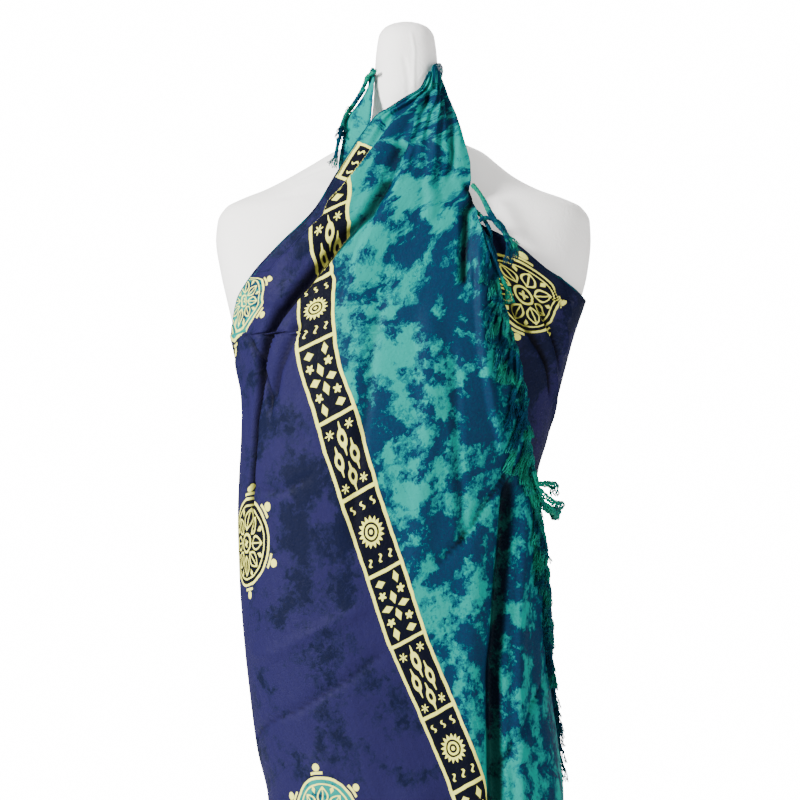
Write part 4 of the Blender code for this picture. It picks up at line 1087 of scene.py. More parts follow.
def weave_group():
    """Height of a plain weave of fine yarn, with slubs."""
    group, given, out = new_group(
        "plain_weave",
        (("Threads", VECTOR, None), ("Yarns Per Metre", FLOAT, 1500.0)),
        (("Height", FLOAT), ("Shade", FLOAT)),
    )
    u, v, _ = split(group, given.outputs["Threads"])
    count = Numbers(group, given.outputs["Yarns Per Metre"])
    warp = (u * count * math.pi).sine()
    weft = (v * count * math.pi).sine()
    slubs = noise(group, combine(group, u * 260.0, v * 14.0), 1.0, 2.0)[0]
    height = warp * weft * 0.5 + slubs * 0.6
    group.links.new(height.socket, out.inputs["Height"])
    group.links.new(slubs.rise(0.2, 0.8).socket, out.inputs["Shade"])
    return group


def crease_group():
    """Height of soft creases left by folding and crumpling."""
    group, given, out = new_group(
        "soft_creases",
        (("Place", VECTOR, None), ("Size", FLOAT, 30.0)),
        (("Height", FLOAT),),
    )
    scaled = group.nodes.new("ShaderNodeVectorMath")
    scaled.operation = "SCALE"
    group.links.new(given.outputs["Place"], scaled.inputs[0])
    group.links.new(given.outputs["Size"], scaled.inputs["Scale"])
    large = noise(group, scaled.outputs[0], 1.0, 3.0, 0.55)[0]
    fine = noise(group, scaled.outputs[0], 4.2, 3.0, 0.6, 0.8)[0]
    ridges = abs(fine - 0.5).rise(0.0, 0.10)
    height = large * 1.4 + ridges * 0.30
    group.links.new(height.socket, out.inputs["Height"])
    return group


# Colours of the dyes, the wax and the form's cover
TEAL_LIGHT = srgb(4, 124, 114)
TEAL_MIDDLE = srgb(8, 72, 84)
TEAL_DARK = srgb(8, 33, 60)
VIOLET_LIGHT = srgb(27, 25, 61)
VIOLET_MIDDLE = srgb(18, 22, 49)
VIOLET_DARK = srgb(10, 15, 38)
YARN_LIGHT = srgb(8, 110, 88)
YARN_MIDDLE = srgb(8, 76, 80)
YARN_DARK = srgb(7, 40, 62)
NAVY_GROUND = srgb(5, 7, 20)
WAX_CREAM = srgb(230, 228, 104)
JERSEY_WHITE = srgb(253, 251, 248)
JERSEY_WORN = srgb(248, 245, 241)
# Dyed yarn reflects little of the room
YARN_IOR = 1.22
YARN_SPECULAR = 0.2


def bump(tree, height, strength, distance, normal=None):
    """Bump node, chained after another where one is given."""
    node = tree.nodes.new("ShaderNodeBump")
    node.inputs["Strength"].default_value = strength
    node.inputs["Distance"].default_value = distance
    tree.links.new(height, node.inputs["Height"])
    if normal is not None:
        tree.links.new(normal, node.inputs["Normal"])
    return node.outputs["Normal"]


def shaded(tree, colour, shade):
    """Colour darkened by a shade, where 1 leaves it as it is."""
    node = tree.nodes.new("ShaderNodeMix")
    node.data_type = "RGBA"
    node.blend_type = "MULTIPLY"
    node.inputs["Factor"].default_value = 1.0
    tree.links.new(colour, node.inputs[6])
    tree.links.new(shade.socket, node.inputs[7])
    return node.outputs[2]


def blank_material(name):
    """Material with its tree and its main shader."""
    material = bpy.data.materials.new(name)
    material.use_nodes = True
    tree = material.node_tree
    return material, tree, tree.nodes["Principled BSDF"]


def threads_of(tree):
    """The cloth's own lengths at each place."""
    node = tree.nodes.new("ShaderNodeUVMap")
    node.uv_map = "threads"
    return node.outputs[0]


def place_of(tree):
    """Place on the piece, in its own lengths."""
    return tree.nodes.new("ShaderNodeTexCoord").outputs["Object"]


def dull(shader):
    """Let dyed yarn reflect little of the room."""
    shader.inputs["IOR"].default_value = YARN_IOR
    shader.inputs["Specular IOR Level"].default_value = YARN_SPECULAR


def dyed_rayon(groups):
    """The sarong's cloth: dyed ends and middle, stamped band and rosettes, weave and creases."""
    material, tree, shader = blank_material("dyed_rayon")
    threads = threads_of(tree)
    u, v, _ = split(tree, threads)
    from_end = u.less_of(u * -1.0 + FLAT_WIDTH)
    teal = place_group(tree, groups["tie_dye"], {
        "Threads": threads, "Light Dye": TEAL_LIGHT, "Middle Dye": TEAL_MIDDLE, "Dark Dye": TEAL_DARK,
        "Patch Scale": 41.0, "Dark Share": from_end * -0.32 + 0.585, "Offset": (0.31, 0.12, 0.0),
    })
    violet = place_group(tree, groups["tie_dye"], {
        "Threads": threads, "Light Dye": VIOLET_LIGHT, "Middle Dye": VIOLET_MIDDLE, "Dark Dye": VIOLET_DARK,
        "Patch Scale": 23.0, "Dark Share": v.rise(0.045, 0.0) * 0.2 + 0.44, "Offset": (0.77, 0.53, 0.0),
    })
    spread = noise(tree, threads, 60.0, 3.0)[0]
    in_middle = (from_end + (spread - 0.5) * 0.004).rise(BAND_MIDDLE - 0.003, BAND_MIDDLE + 0.003)
    dye = blend_colours(tree, in_middle, teal.outputs["Dye"], violet.outputs["Dye"])

    rosettes = place_group(tree, groups["rosettes"], {"Threads": threads})
    dye = blend_colours(tree, rosettes.outputs["Ground"], dye, NAVY_GROUND)
    teal_in_rosette = blend_colours(tree, rosettes.outputs["Teal Ground"], dye, teal.outputs["Dye"])
    dye = blend_colours(tree, rosettes.outputs["Wax"], teal_in_rosette, WAX_CREAM)

    band = place_group(tree, groups["band"], {"Threads": threads})
    dye = blend_colours(tree, band.outputs["Ground"], dye, NAVY_GROUND)
    dye = blend_colours(tree, band.outputs["Wax"], dye, WAX_CREAM)

    weave = place_group(tree, groups["weave"], {"Threads": threads, "Yarns Per Metre": 1500.0})
    creases = place_group(tree, groups["creases"], {"Place": threads, "Size": 34.0})
    # Painted shade: the cloth's colour is darkened where the folds' troughs lie deep, standing in for the
    # shade that falls in them. The slubs' tone is the yarn's own.
    folds = tree.nodes.new("ShaderNodeAttribute")
    folds.attribute_name = "fold_depth"
    painted_fold_shade = Numbers(tree, folds.outputs["Fac"]).rise(0.0006, 0.0068)
    shade = (Numbers(tree, weave.outputs["Shade"]) * 0.10 + 0.92) * (painted_fold_shade * -0.84 + 1.0)
    tree.links.new(shaded(tree, dye, shade), shader.inputs["Base Color"])
    roughness = noise(tree, threads, 90.0, 2.0)[0] * 0.12 + 0.50
    tree.links.new(roughness.socket, shader.inputs["Roughness"])
    normal = bump(tree, creases.outputs["Height"], 0.55, 0.0011)
    normal = bump(tree, weave.outputs["Height"], 0.25, 0.00012, normal)
    tree.links.new(normal, shader.inputs["Normal"])
    dull(shader)
    return material


def fringe_yarn(groups):
    """Twisted rayon yarn in the colours of the cloth's ends."""
    material, tree, shader = blank_material("fringe_yarn")
    place = place_of(tree)
    teal = place_group(tree, groups["tie_dye"], {
        "Threads": place, "Light Dye": YARN_LIGHT, "Middle Dye": YARN_MIDDLE, "Dark Dye": YARN_DARK,
        "Patch Scale": 24.0, "Dark Share": 0.52, "Offset": (0.2, 0.4, 0.1),
    })
    fibres = noise(tree, place, 1400.0, 2.0)[0]
    tree.links.new(shaded(tree, teal.outputs["Dye"], fibres * 0.5 + 0.72), shader.inputs["Base Color"])
    tree.links.new((fibres * 0.2 + 0.5).socket, shader.inputs["Roughness"])
    tree.links.new(bump(tree, fibres.socket, 0.4, 0.0002), shader.inputs["Normal"])
    dull(shader)
    return material


def hem_roll():
    """Rolled edge of the cloth, where the dyes run dark."""
    material, tree, shader = blank_material("hem_roll")
    place = place_of(tree)
    patches = noise(tree, place, 34.0, 4.0, 0.6)[0]
    colour = blend_colours(tree, patches.rise(0.42, 0.58), TEAL_MIDDLE, VIOLET_DARK)
    tree.links.new(colour, shader.inputs["Base Color"])
    tree.links.new((patches * 0.2 + 0.5).socket, shader.inputs["Roughness"])
    yarns = noise(tree, place, 1300.0, 2.0)[0]
    tree.links.new(bump(tree, yarns.socket, 0.3, 0.0002), shader.inputs["Normal"])
    dull(shader)
    return material


def white_jersey(groups):
    """The form's cover: fine white knit with soft creases."""
    material, tree, shader = blank_material("white_jersey")
    place = place_of(tree)
    x, y, z = split(tree, place)
    turn = y.angle_to(x)
    knit = (turn * 420.0).sine() * (z * 3200.0).sine()
    soil = noise(tree, place, 9.0, 3.0)[0]
    colour = blend_colours(tree, soil.rise(0.35, 0.7), JERSEY_WHITE, JERSEY_WORN)
    tree.links.new(colour, shader.inputs["Base Color"])
    tree.links.new((soil * 0.1 + 0.72).socket, shader.inputs["Roughness"])
    creases = place_group(tree, groups["creases"], {"Place": place, "Size": 11.0})
    normal = bump(tree, creases.outputs["Height"], 0.25, 0.0016)
    normal = bump(tree, knit.socket, 0.2, 0.00015, normal)
    tree.links.new(normal, shader.inputs["Normal"])
    shader.inputs["Sheen Weight"].default_value = 0.15
    return material


def white_enamel():
    """Baked white paint with a faint orange-peel skin."""
    material, tree, shader = blank_material("white_enamel")
    place = place_of(tree)
    peel = noise(tree, place, 260.0, 2.0)[0]
    dust = noise(tree, place, 24.0, 4.0)[0]
    colour = blend_colours(tree, dust.rise(0.45, 0.75), srgb(232, 231, 228), srgb(214, 212, 208))
    tree.links.new(colour, shader.inputs["Base Color"])
    tree.links.new((dust * 0.25 + 0.22).socket, shader.inputs["Roughness"])
    tree.links.new(bump(tree, peel.socket, 0.12, 0.0004), shader.inputs["Normal"])
    shader.inputs["Coat Weight"].default_value = 0.3
    return material


def brushed_steel():
    """Steel with fine scratches round it."""
    material, tree, shader = blank_material("brushed_steel")
    place = place_of(tree)
    x, y, z = split(tree, place)
    lines = noise(tree, combine(tree, x * 12.0, y * 12.0, z * 900.0), 1.0, 3.0)[0]
    colour = blend_colours(tree, lines, srgb(178, 180, 184), srgb(206, 207, 210))
    tree.links.new(colour, shader.inputs["Base Color"])
    tree.links.new((lines * 0.22 + 0.24).socket, shader.inputs["Roughness"])
    tree.links.new(bump(tree, lines.socket, 0.2, 0.0001), shader.inputs["Normal"])
    shader.inputs["Metallic"].default_value = 1.0
    return material


def add_piece(name, mesh, material, replaced=()):
    """Put a finished mesh in the scene as a smooth piece that rides on the part."""
    mesh.materials.clear()
    mesh.materials.append(material)
    mesh.shade_smooth()
    item = bpy.data.objects.new(name, mesh)
    bpy.context.scene.collection.objects.link(item)
    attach(item, "root")
    if replaced:
        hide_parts(*replaced)
    return item


def grid_mesh(name, points, threads=None, closed=False, depth=None):
    """Mesh through rows of points. Closed joins each row's ends.

    The threads' lengths become its UV map, and the folds' depth an attribute, from which the cloth's material
    paints shade in the troughs.
    """
    rows, columns = points.shape[:2]
    mesh = bpy.data.meshes.new(name)
    index = np.arange(rows * columns).reshape(rows, columns)
    if closed:
        index = np.concatenate([index, index[:, :1]], axis=1)
    corners = np.stack([index[:-1, :-1], index[1:, :-1], index[1:, 1:], index[:-1, 1:]], axis=-1)
    corners = corners.reshape(-1, 4)
    mesh.from_pydata(points.reshape(-1, 3).tolist(), [], corners.tolist())
    if threads is not None:
        layer = mesh.uv_layers.new(name="threads")
        u, v = threads
        flat = np.stack([u.ravel()[corners.ravel()], v.ravel()[corners.ravel()]], axis=-1)
        layer.data.foreach_set("uv", flat.ravel())
    if depth is not None:
        mesh.attributes.new("fold_depth", "FLOAT", "POINT").data.foreach_set("value", depth.ravel())
    mesh.update()
    return mesh


def faced_out(mesh, around=None):
    """Turn a closed shape's faces outwards.

    A tube with this many points around it gets its ends closed. Any other shape gets its doubles merged.
    """
    bm = bmesh.new()
    bm.from_mesh(mesh)
    if around is None:
        bmesh.ops.remove_doubles(bm, verts=bm.verts, dist=1e-6)
    else:
        bm.verts.ensure_lookup_table()
        bm.faces.new([bm.verts[i] for i in range(around)][::-1])
        bm.faces.new([bm.verts[len(bm.verts) - around + i] for i in range(around)])
    bmesh.ops.recalc_face_normals(bm, faces=bm.faces)
    bm.to_mesh(mesh)
    bm.free()
    return mesh


def thicken(mesh, thickness):
    """Give a sheet its thickness inwards and close its rim, as a plain mesh."""
    item = bpy.data.objects.new("to_thicken", mesh)
    bpy.context.scene.collection.objects.link(item)
    wall = item.modifiers.new("wall", "SOLIDIFY")
    wall.thickness = thickness
    wall.offset = -1.0
    result = bpy.data.meshes.new_from_object(item.evaluated_get(bpy.context.evaluated_depsgraph_get()))
    bpy.data.objects.remove(item)
    result.name = mesh.name
    return result


def spread(start, end, count):
    """Evenly spaced values from start to end, for plain numbers or columns of them."""
    share = np.linspace(0, 1, count)
    start, end = np.asarray(start, float), np.asarray(end, float)
    return start[..., None] + (end - start)[..., None] * share


def over_sheet(material):
    """The stretch that lies on top, from the neck and the left side to the fringed end."""
    levels = np.concatenate([
        np.linspace(OVER_TOP, LEFT_ARMHOLE, 84), np.linspace(LEFT_ARMHOLE, SKIRT_START, 100)[1:],
        np.linspace(SKIRT_START, -0.30, 38)[1:],
    ])
    angle = spread(over_left(levels), row_end(over_end, OVER_HEM_TABLE, levels), 196)
    z = row_height(levels[:, None], OVER_HEM_TABLE(angle)[0])
    points = over_point(angle, z)
    band_angle = seen_over(OVER_BAND_TABLE(levels)[0], levels)
    u, v = threads_beside_band(points, angle, OVER_BAND_TABLE, band_angle, BAND_MIDDLE, 1)
    above_fold = (along_path(CROSSING, angle, z)[1] > 0) * smooth_step(CROSSING[-1][1], 1.206, z)
    u = u + CROSSING_FOLD_HIDES_U * above_fold
    v = v - CROSSING_FOLD_HIDES_V * above_fold
    strip_u, strip_v = threads_beside_neckline(points)
    beside = (along_path(TUCK, angle, z)[1] > 0) * smooth_step(1.244, 1.270, z) * (z < TUCK[0][1])
    u = u + (strip_u - u) * beside
    v = v + (strip_v - v) * beside
    # Depth of the folds' troughs, scaled, for the painted shade that the cloth's material lays in them
    depth = -fold_height(OVER_LINES, angle, z) - over_gathers(angle, z) * 1.6
    mesh = thicken(grid_mesh("sarong_over", points, (u, v), depth=depth), CLOTH_THICKNESS)
    left_side = np.stack([z[:, 0], u[:, 0], v[:, 0]])[:, levels < LEFT_ARMHOLE]
    return add_piece("sarong_over", mesh, material, ["cloth_over"]), left_side


def under_sheet(material):
    """The stretch beneath, from the right side to its own fringed end."""
    levels = np.concatenate([
        np.linspace(1.4615, RIGHT_ARMHOLE, 84), np.linspace(RIGHT_ARMHOLE, SKIRT_START, 100)[1:],
        np.linspace(SKIRT_START, -0.30, 30)[1:],
    ])
    angle = spread(row_end(under_left, UNDER_HEM_TABLE, levels), under_right(levels), 132)
    z = row_height(levels[:, None], UNDER_HEM_TABLE(angle)[0])
    points = under_point(angle, z)
    band_angle = seen_under(UNDER_BAND_TABLE(levels)[0], levels)
    u, v = threads_beside_band(points, angle, UNDER_BAND_TABLE, band_angle, FLAT_WIDTH - BAND_MIDDLE, 1)
    u = u - UNDER_THREADS_ASIDE * smooth_step(1.38, 1.31, z)
    # Depth of the folds' troughs, scaled, for the painted shade that the cloth's material lays in them
    depth = -fold_height(UNDER_LINES, angle, z) * 1.8
    mesh = thicken(grid_mesh("sarong_under", points, (u, v), depth=depth), CLOTH_THICKNESS)
    right_side = np.stack([z[:, -1], u[:, -1], v[:, -1]])[:, levels < RIGHT_ARMHOLE]
    return add_piece("sarong_under", mesh, material, ["cloth_under"]), right_side


def back_sheet(material, right_side, left_side):
    """The stretch round the back, from the right side to the left side. Its threads run on from both."""
    share = np.concatenate([np.linspace(0, 0.5, 90), np.linspace(0.5, 1, 50)[1:]])
    angle = np.broadcast_to(np.linspace(90.0, 270.0, 190), (len(share), 190))
    top = RIGHT_ARMHOLE + (LEFT_ARMHOLE - RIGHT_ARMHOLE) * (angle - 90) / 180
    z = top + (BACK_HEM_TABLE(angle)[0] - top) * share[:, None]
    points = back_point(angle, z)
    steps = np.linalg.norm(np.diff(points, axis=1), axis=2)
    arc = np.concatenate([np.zeros((len(points), 1)), np.cumsum(steps, axis=1)], axis=1)
    across = arc / arc[:, -1:]
    start_u, start_v = (np.interp(z, right_side[0][::-1], row[::-1]) for row in right_side[1:])
    end_u, end_v = (np.interp(z, left_side[0][::-1], row[::-1]) for row in left_side[1:])
    u = start_u + (end_u - start_u) * across
    v = start_v + (end_v - start_v) * across
    # Depth of the folds' troughs, scaled, for the painted shade that the cloth's material lays in them
    depth = -fold_height(BACK_FOLDS, angle, z) * 0.5
    mesh = thicken(grid_mesh("sarong_back", points, (u, v), depth=depth), CLOTH_THICKNESS)
    return add_piece("sarong_back", mesh, material, ["cloth_back"])


def torso(material):
    """The form's torso and neck in its jersey cover, with the cover's soft folds."""
    stretches = ((1.52, 1.50, 14), (1.50, 1.30, 90), (1.30, 0.72, 90), (0.72, 0.70, 10))
    levels = np.unique(np.concatenate([np.linspace(*stretch) for stretch in stretches]))[::-1]
    angle = np.broadcast_to(np.linspace(-180, 180, 145)[:-1], (len(levels), 144))
    z = np.broadcast_to(levels[:, None], angle.shape)
    fold = fold_height(COVER_LINES, angle, z)
    points = body_point(FORM_TABLE, angle, z, fold)
    mesh = faced_out(grid_mesh("form_body", points, closed=True), angle.shape[1])
    item = add_piece("form_body", mesh, material, ["form_torso"])
    mesh.set_sharp_from_angle(angle=math.radians(60))
    return item


def turned(name, profile, segments, material, replaced):
    """Piece turned about the pole's axis from a profile of (radius, height), bottom to top."""
    turns = np.linspace(0, 2 * np.pi, segments, endpoint=False)
    radius, height = np.array(profile, float).T
    x, y = radius[:, None] * np.cos(turns), radius[:, None] * np.sin(turns)
    points = np.stack([x, y, np.repeat(height[:, None], segments, axis=1)], axis=-1)
    mesh = faced_out(grid_mesh(name, points, closed=True))
    item = add_piece(name, mesh, material, replaced)
    mesh.set_sharp_from_angle(angle=math.radians(40))
    return item


def stand(enamel, steel):
    """Round base with a rolled edge, hub, pole and collar."""
    turned("stand_base", BASE_PROFILE, 128, enamel, ["form_base"])
    turned("stand_hub", HUB_PROFILE, 64, steel, ["form_hub"])
    turned("stand_pole", POLE_PROFILE, 64, steel, ["form_pole"])
    turned("stand_collar", COLLAR_PROFILE, 64, steel, ["form_collar"])


def tube_rows(path, sections):
    """Rows of points round a path, from rings of (out, up) offsets, where out is away from the neck."""
    rows = []
    for index, centre in enumerate(path):
        before, after = path[max(index - 1, 0)], path[min(index + 1, len(path) - 1)]
        forward = (after - before) / np.linalg.norm(after - before)
        out = centre - np.array([KNOT_X, 0.012, centre[2]])
        out = out - forward * out.dot(forward)
        out = out / np.linalg.norm(out)
        up = np.cross(forward, out)
        up = up if up[2] > 0 else -up
        rows.append([centre + out * a + up * b for a, b in sections[index]])
    return np.array(rows)


def resampled(path, count):
    """Smooth path through given points, evenly spaced."""
    path = np.array(path, float)
    keys = np.concatenate([[0], np.cumsum(np.linalg.norm(np.diff(path, axis=0), axis=1))])
    table = Table([(key, *point) for key, point in zip(keys, path)])
    return table(np.linspace(0, keys[-1], count)).T


def gathered_tie(name, cloth_top, side, knot_end, replaced, u_start, material):
    """Pleated bunch of cloth from the top of one end round the neck to the knot."""
    path = [cloth_top + np.array([0, 0, -0.012]), cloth_top + np.array([0, 0, 0.002])]
    for turn in (74, 90, 104, 118, 132, 145):
        height = cloth_top[2] + 0.005 + (KNOT_HEIGHT - cloth_top[2] - 0.005) * smooth_step(60, 150, turn)
        path.append(body_point(FORM_TABLE, np.array(side * turn), np.array(height), 0.0034))
    path.append(np.array(knot_end))
    path = resampled(path, 60)
    sections = []
    turns = np.linspace(0, 2 * np.pi, 56, endpoint=False)
    for share in np.linspace(0, 1, 60):
        pleats = 1 + 0.16 * np.cos(9 * turns + 2.2 * share) * (0.5 + 0.5 * abs(np.sin(turns)))
        sections.append(np.stack([0.0023 * np.cos(turns) * pleats, 0.0052 * np.sin(turns) * pleats], axis=-1))
    rows = tube_rows(path, sections)
    u = np.broadcast_to(u_start + np.linspace(0, 0.10, 56), (60, 56))
    v = np.broadcast_to(np.linspace(0.06, 0.0, 60)[:, None], (60, 56))
    mesh = faced_out(grid_mesh(name, rows, (u, v), closed=True), rows.shape[1])
    return add_piece(name, mesh, material, replaced)


def neck_knot(material):
    """The tied knot at the nape: one gathered end passed round the other."""
    count, around = 220, 40
    t = np.linspace(0, 2 * np.pi, count, endpoint=False)
    x, y, z = np.sin(t) + 2 * np.sin(2 * t), -np.sin(3 * t) * 0.9, np.cos(t) - 2 * np.cos(2 * t)
    path = np.stack([x, y, z], axis=-1) / np.array([2.9, 1.0, 2.9])
    path = path * np.array([0.0108, 0.0052, 0.0082]) + np.array([KNOT_X, 0.0575, KNOT_HEIGHT - 0.0002])
    forward = np.roll(path, -1, axis=0) - np.roll(path, 1, axis=0)
    forward = forward / np.linalg.norm(forward, axis=1)[:, None]
    out = np.array([0.0, 1.0, 0.0]) - forward * forward[:, 1:2]
    out = out / np.linalg.norm(out, axis=1)[:, None]
    side = np.cross(forward, out)
    turns = np.linspace(0, 2 * np.pi, around, endpoint=False)
    pleats = 1 + 0.10 * np.cos(7 * turns)
    rows = path[:, None] + 0.0047 * pleats[None, :, None] * (
        out[:, None] * np.cos(turns)[None, :, None] + side[:, None] * np.sin(turns)[None, :, None]
    )
    rows = np.concatenate([rows, rows[:1]])
    u = np.broadcast_to(0.16 + np.linspace(0, 0.05, around), (count + 1, around))
    v = np.broadcast_to(np.linspace(0.0, 0.16, count + 1)[:, None], (count + 1, around))
    mesh = faced_out(grid_mesh("tied_knot", rows, (u, v), closed=True))
    return add_piece("tied_knot", mesh, material, ["neck_knot"])


def tail_points(side, share, down, length):
    """Points on a loose end. Share runs across from its inner edge, down from the knot to its edge."""
    across = 0.0024 + (0.0135 + 0.046 * down) * share
    z = 1.4500 - (length + 0.0022) * down - 0.030 * down * (share - 0.5)
    pleat = (0.0010 + 0.0018 * down) * np.sin(np.pi * 4 * share)
    pleat = pleat + 0.0008 * np.sin(np.pi * 11 * share + 4 * down)
    y = np.maximum(FORM_TABLE(z)[3] + 0.0085, 0.0582) + pleat
    return np.stack([KNOT_X + side * across, y, z], axis=-1)


def loose_end(name, side, length, replaced, material):
    """One corner of the cloth, hanging loose below the knot."""
    share, down = np.meshgrid(np.linspace(0, 1, 64), np.linspace(0, 1, 80))
    if side > 0:
        share = share[:, ::-1]
    points = tail_points(side, share, down, length)
    u = 0.02 + 0.075 * (1 - down) + 0.0 * share
    v = 0.01 + 0.09 * share
    mesh = thicken(grid_mesh(name, points, (u, v)), CLOTH_THICKNESS)
    return add_piece(name, mesh, material, replaced)


def yarn_bundle_nodes():
    """Nodes that lay round strands along guide lines, twisted round each other or spreading."""
    tree = bpy.data.node_groups.new("yarn_bundle", "GeometryNodeTree")
    labels = (
        ("Geometry", "NodeSocketGeometry"), ("Strands", "NodeSocketInt"), ("Strand Radius", FLOAT),
        ("Start Spread", FLOAT), ("End Spread", FLOAT), ("Twists Per Metre", FLOAT), ("Crinkle", FLOAT),
        ("Sides", "NodeSocketInt"), ("Material", "NodeSocketMaterial"),
    )
    for label, kind in labels:
        tree.interface.new_socket(name=label, in_out="INPUT", socket_type=kind)
    tree.interface.new_socket(name="Geometry", in_out="OUTPUT", socket_type="NodeSocketGeometry")
    nodes, links = tree.nodes, tree.links
    given = nodes.new("NodeGroupInput").outputs

    def number(operation, first, second=None):
        node = nodes.new("ShaderNodeMath")
        node.operation = operation
        for socket, value in zip(node.inputs, (first, second)):
            if isinstance(value, bpy.types.NodeSocket):
                links.new(value, socket)
            elif value is not None:
                socket.default_value = value
        return node.outputs[0]

    def vector(operation, first, second=None, scale=None):
        node = nodes.new("ShaderNodeVectorMath")
        node.operation = operation
        for socket, value in zip(node.inputs, (first, second)):
            if isinstance(value, bpy.types.NodeSocket):
                links.new(value, socket)
            elif value is not None:
                socket.default_value = value
        if scale is not None:
            links.new(scale, node.inputs["Scale"])
        return node.outputs[0]

    curves = nodes.new("GeometryNodeMeshToCurve")
    links.new(given["Geometry"], curves.inputs["Mesh"])
    copies = nodes.new("GeometryNodeDuplicateElements")
    copies.domain = "SPLINE"
    links.new(curves.outputs["Curve"], copies.inputs["Geometry"])
    links.new(given["Strands"], copies.inputs["Amount"])
    along = nodes.new("GeometryNodeSplineParameter").outputs
    copy = copies.outputs["Duplicate Index"]
    own_turn = number("MULTIPLY", number("DIVIDE", copy, given["Strands"]), 2 * math.pi)
    twists = number("MULTIPLY", along["Length"], given["Twists Per Metre"])
    turn = number("ADD", own_turn, number("MULTIPLY", twists, 2 * math.pi))
    spreading = number("SUBTRACT", given["End Spread"], given["Start Spread"])
    reach = number("ADD", given["Start Spread"], number("MULTIPLY", along["Factor"], spreading))
    normal = nodes.new("GeometryNodeInputNormal").outputs[0]
    tangent = nodes.new("GeometryNodeInputTangent").outputs[0]
    side = vector("CROSS_PRODUCT", tangent, normal)
    ahead = vector("SCALE", normal, scale=number("COSINE", turn))
    aside = vector("SCALE", side, scale=number("SINE", turn))
    round_it = vector("ADD", ahead, aside)
    place = nodes.new("GeometryNodeInputPosition").outputs[0]
    own_place = nodes.new("ShaderNodeCombineXYZ")
    links.new(number("MULTIPLY", copy, 3.71), own_place.inputs[0])
    links.new(number("MULTIPLY", copy, 1.37), own_place.inputs[2])
    waves = nodes.new("ShaderNodeTexNoise")
    waves.inputs["Scale"].default_value = 1.0
    waves.inputs["Detail"].default_value = 1.0
    scaled = vector("MULTIPLY", place, (210, 210, 210))
    links.new(vector("ADD", scaled, own_place.outputs[0]), waves.inputs["Vector"])
    sway = vector("SUBTRACT", waves.outputs["Color"], (0.5, 0.5, 0.5))
    crinkle = vector("SCALE", sway, scale=given["Crinkle"])
    moved = nodes.new("GeometryNodeSetPosition")
    links.new(copies.outputs["Geometry"], moved.inputs["Geometry"])
    links.new(vector("ADD", vector("SCALE", round_it, scale=reach), crinkle), moved.inputs["Offset"])
    profile = nodes.new("GeometryNodeCurvePrimitiveCircle")
    links.new(given["Sides"], profile.inputs["Resolution"])
    links.new(given["Strand Radius"], profile.inputs["Radius"])
    thick = nodes.new("GeometryNodeCurveToMesh")
    thick.inputs["Fill Caps"].default_value = True
    links.new(moved.outputs["Geometry"], thick.inputs["Curve"])
    links.new(profile.outputs["Curve"], thick.inputs["Profile Curve"])
    real = nodes.new("GeometryNodeRealizeInstances")
    links.new(thick.outputs["Mesh"], real.inputs["Geometry"])
    dressed = nodes.new("GeometryNodeSetMaterial")
    links.new(real.outputs["Geometry"], dressed.inputs["Geometry"])
    links.new(given["Material"], dressed.inputs["Material"])
    links.new(dressed.outputs["Geometry"], nodes.new("NodeGroupOutput").inputs["Geometry"])
    return tree


def strands_along(name, tree, guides, values, material, replaced=()):
    """Plain mesh piece of strands along guide lines, each a row of points."""
    points = np.concatenate(guides)
    edges, start = [], 0
    for guide in guides:
        edges += [(start + i, start + i + 1) for i in range(len(guide) - 1)]
        start += len(guide)
    mesh = bpy.data.meshes.new(name)
    mesh.from_pydata(points.tolist(), edges, [])
    item = bpy.data.objects.new(name, mesh)
    bpy.context.scene.collection.objects.link(item)
    growth = item.modifiers.new("strands", "NODES")
    growth.node_group = tree
    inputs = [socket for socket in tree.interface.items_tree if socket.in_out == "INPUT"]
    identifiers = {socket.name: socket.identifier for socket in inputs}
    for label, value in {**values, "Material": material}.items():
        growth[identifiers[label]] = value
    result = bpy.data.meshes.new_from_object(item.evaluated_get(bpy.context.evaluated_depsgraph_get()))
    bpy.data.objects.remove(item)
    result.name = name
    return add_piece(name, result, material, replaced)


# Yarn bundles: a twisted cord, an open tuft, the side tassel, a thicker cord and the yarn of a knot
CORD = {"Strands": 3, "Strand Radius": 0.00115, "Start Spread": 0.00115, "End Spread": 0.00115,
        "Twists Per Metre": 95.0, "Crinkle": 0.0002, "Sides": 5}
TUFT = {"Strands": 18, "Strand Radius": 0.00042, "Start Spread": 0.0010, "End Spread": 0.0050,
        "Twists Per Metre": 9.0, "Crinkle": 0.0056, "Sides": 3}
TASSEL = {"Strands": 7, "Strand Radius": 0.00085, "Start Spread": 0.0012, "End Spread": 0.0042,
          "Twists Per Metre": 24.0, "Crinkle": 0.0046, "Sides": 5}
THICK_CORD = {**CORD, "Strands": 4, "Strand Radius": 0.0011, "Start Spread": 0.0013, "End Spread": 0.0011,
              "Twists Per Metre": 60.0}
KNOT = {"Strands": 1, "Strand Radius": 0.0010, "Start Spread": 0.0, "End Spread": 0.0,
        "Twists Per Metre": 0.0, "Crinkle": 0.0, "Sides": 6}


def knot_guide(centre, direction):
    """Two turns and a bit of yarn wound round a cord's axis."""
    direction = direction / np.linalg.norm(direction)
    side = np.cross(direction, (0.31, 0.77, 0.55))
    side = side / np.linalg.norm(side)
    other = np.cross(direction, side)
    turns = np.linspace(0, 2.4, 26)
    swell = 0.0019 - 0.0006 * abs(turns / 1.2 - 1)
    along = direction * ((turns / 2.4 - 0.5) * 0.0042)[:, None]
    across = side * (swell * np.cos(2 * np.pi * turns))[:, None]
    return centre + along + across + other * (swell * np.sin(2 * np.pi * turns))[:, None]


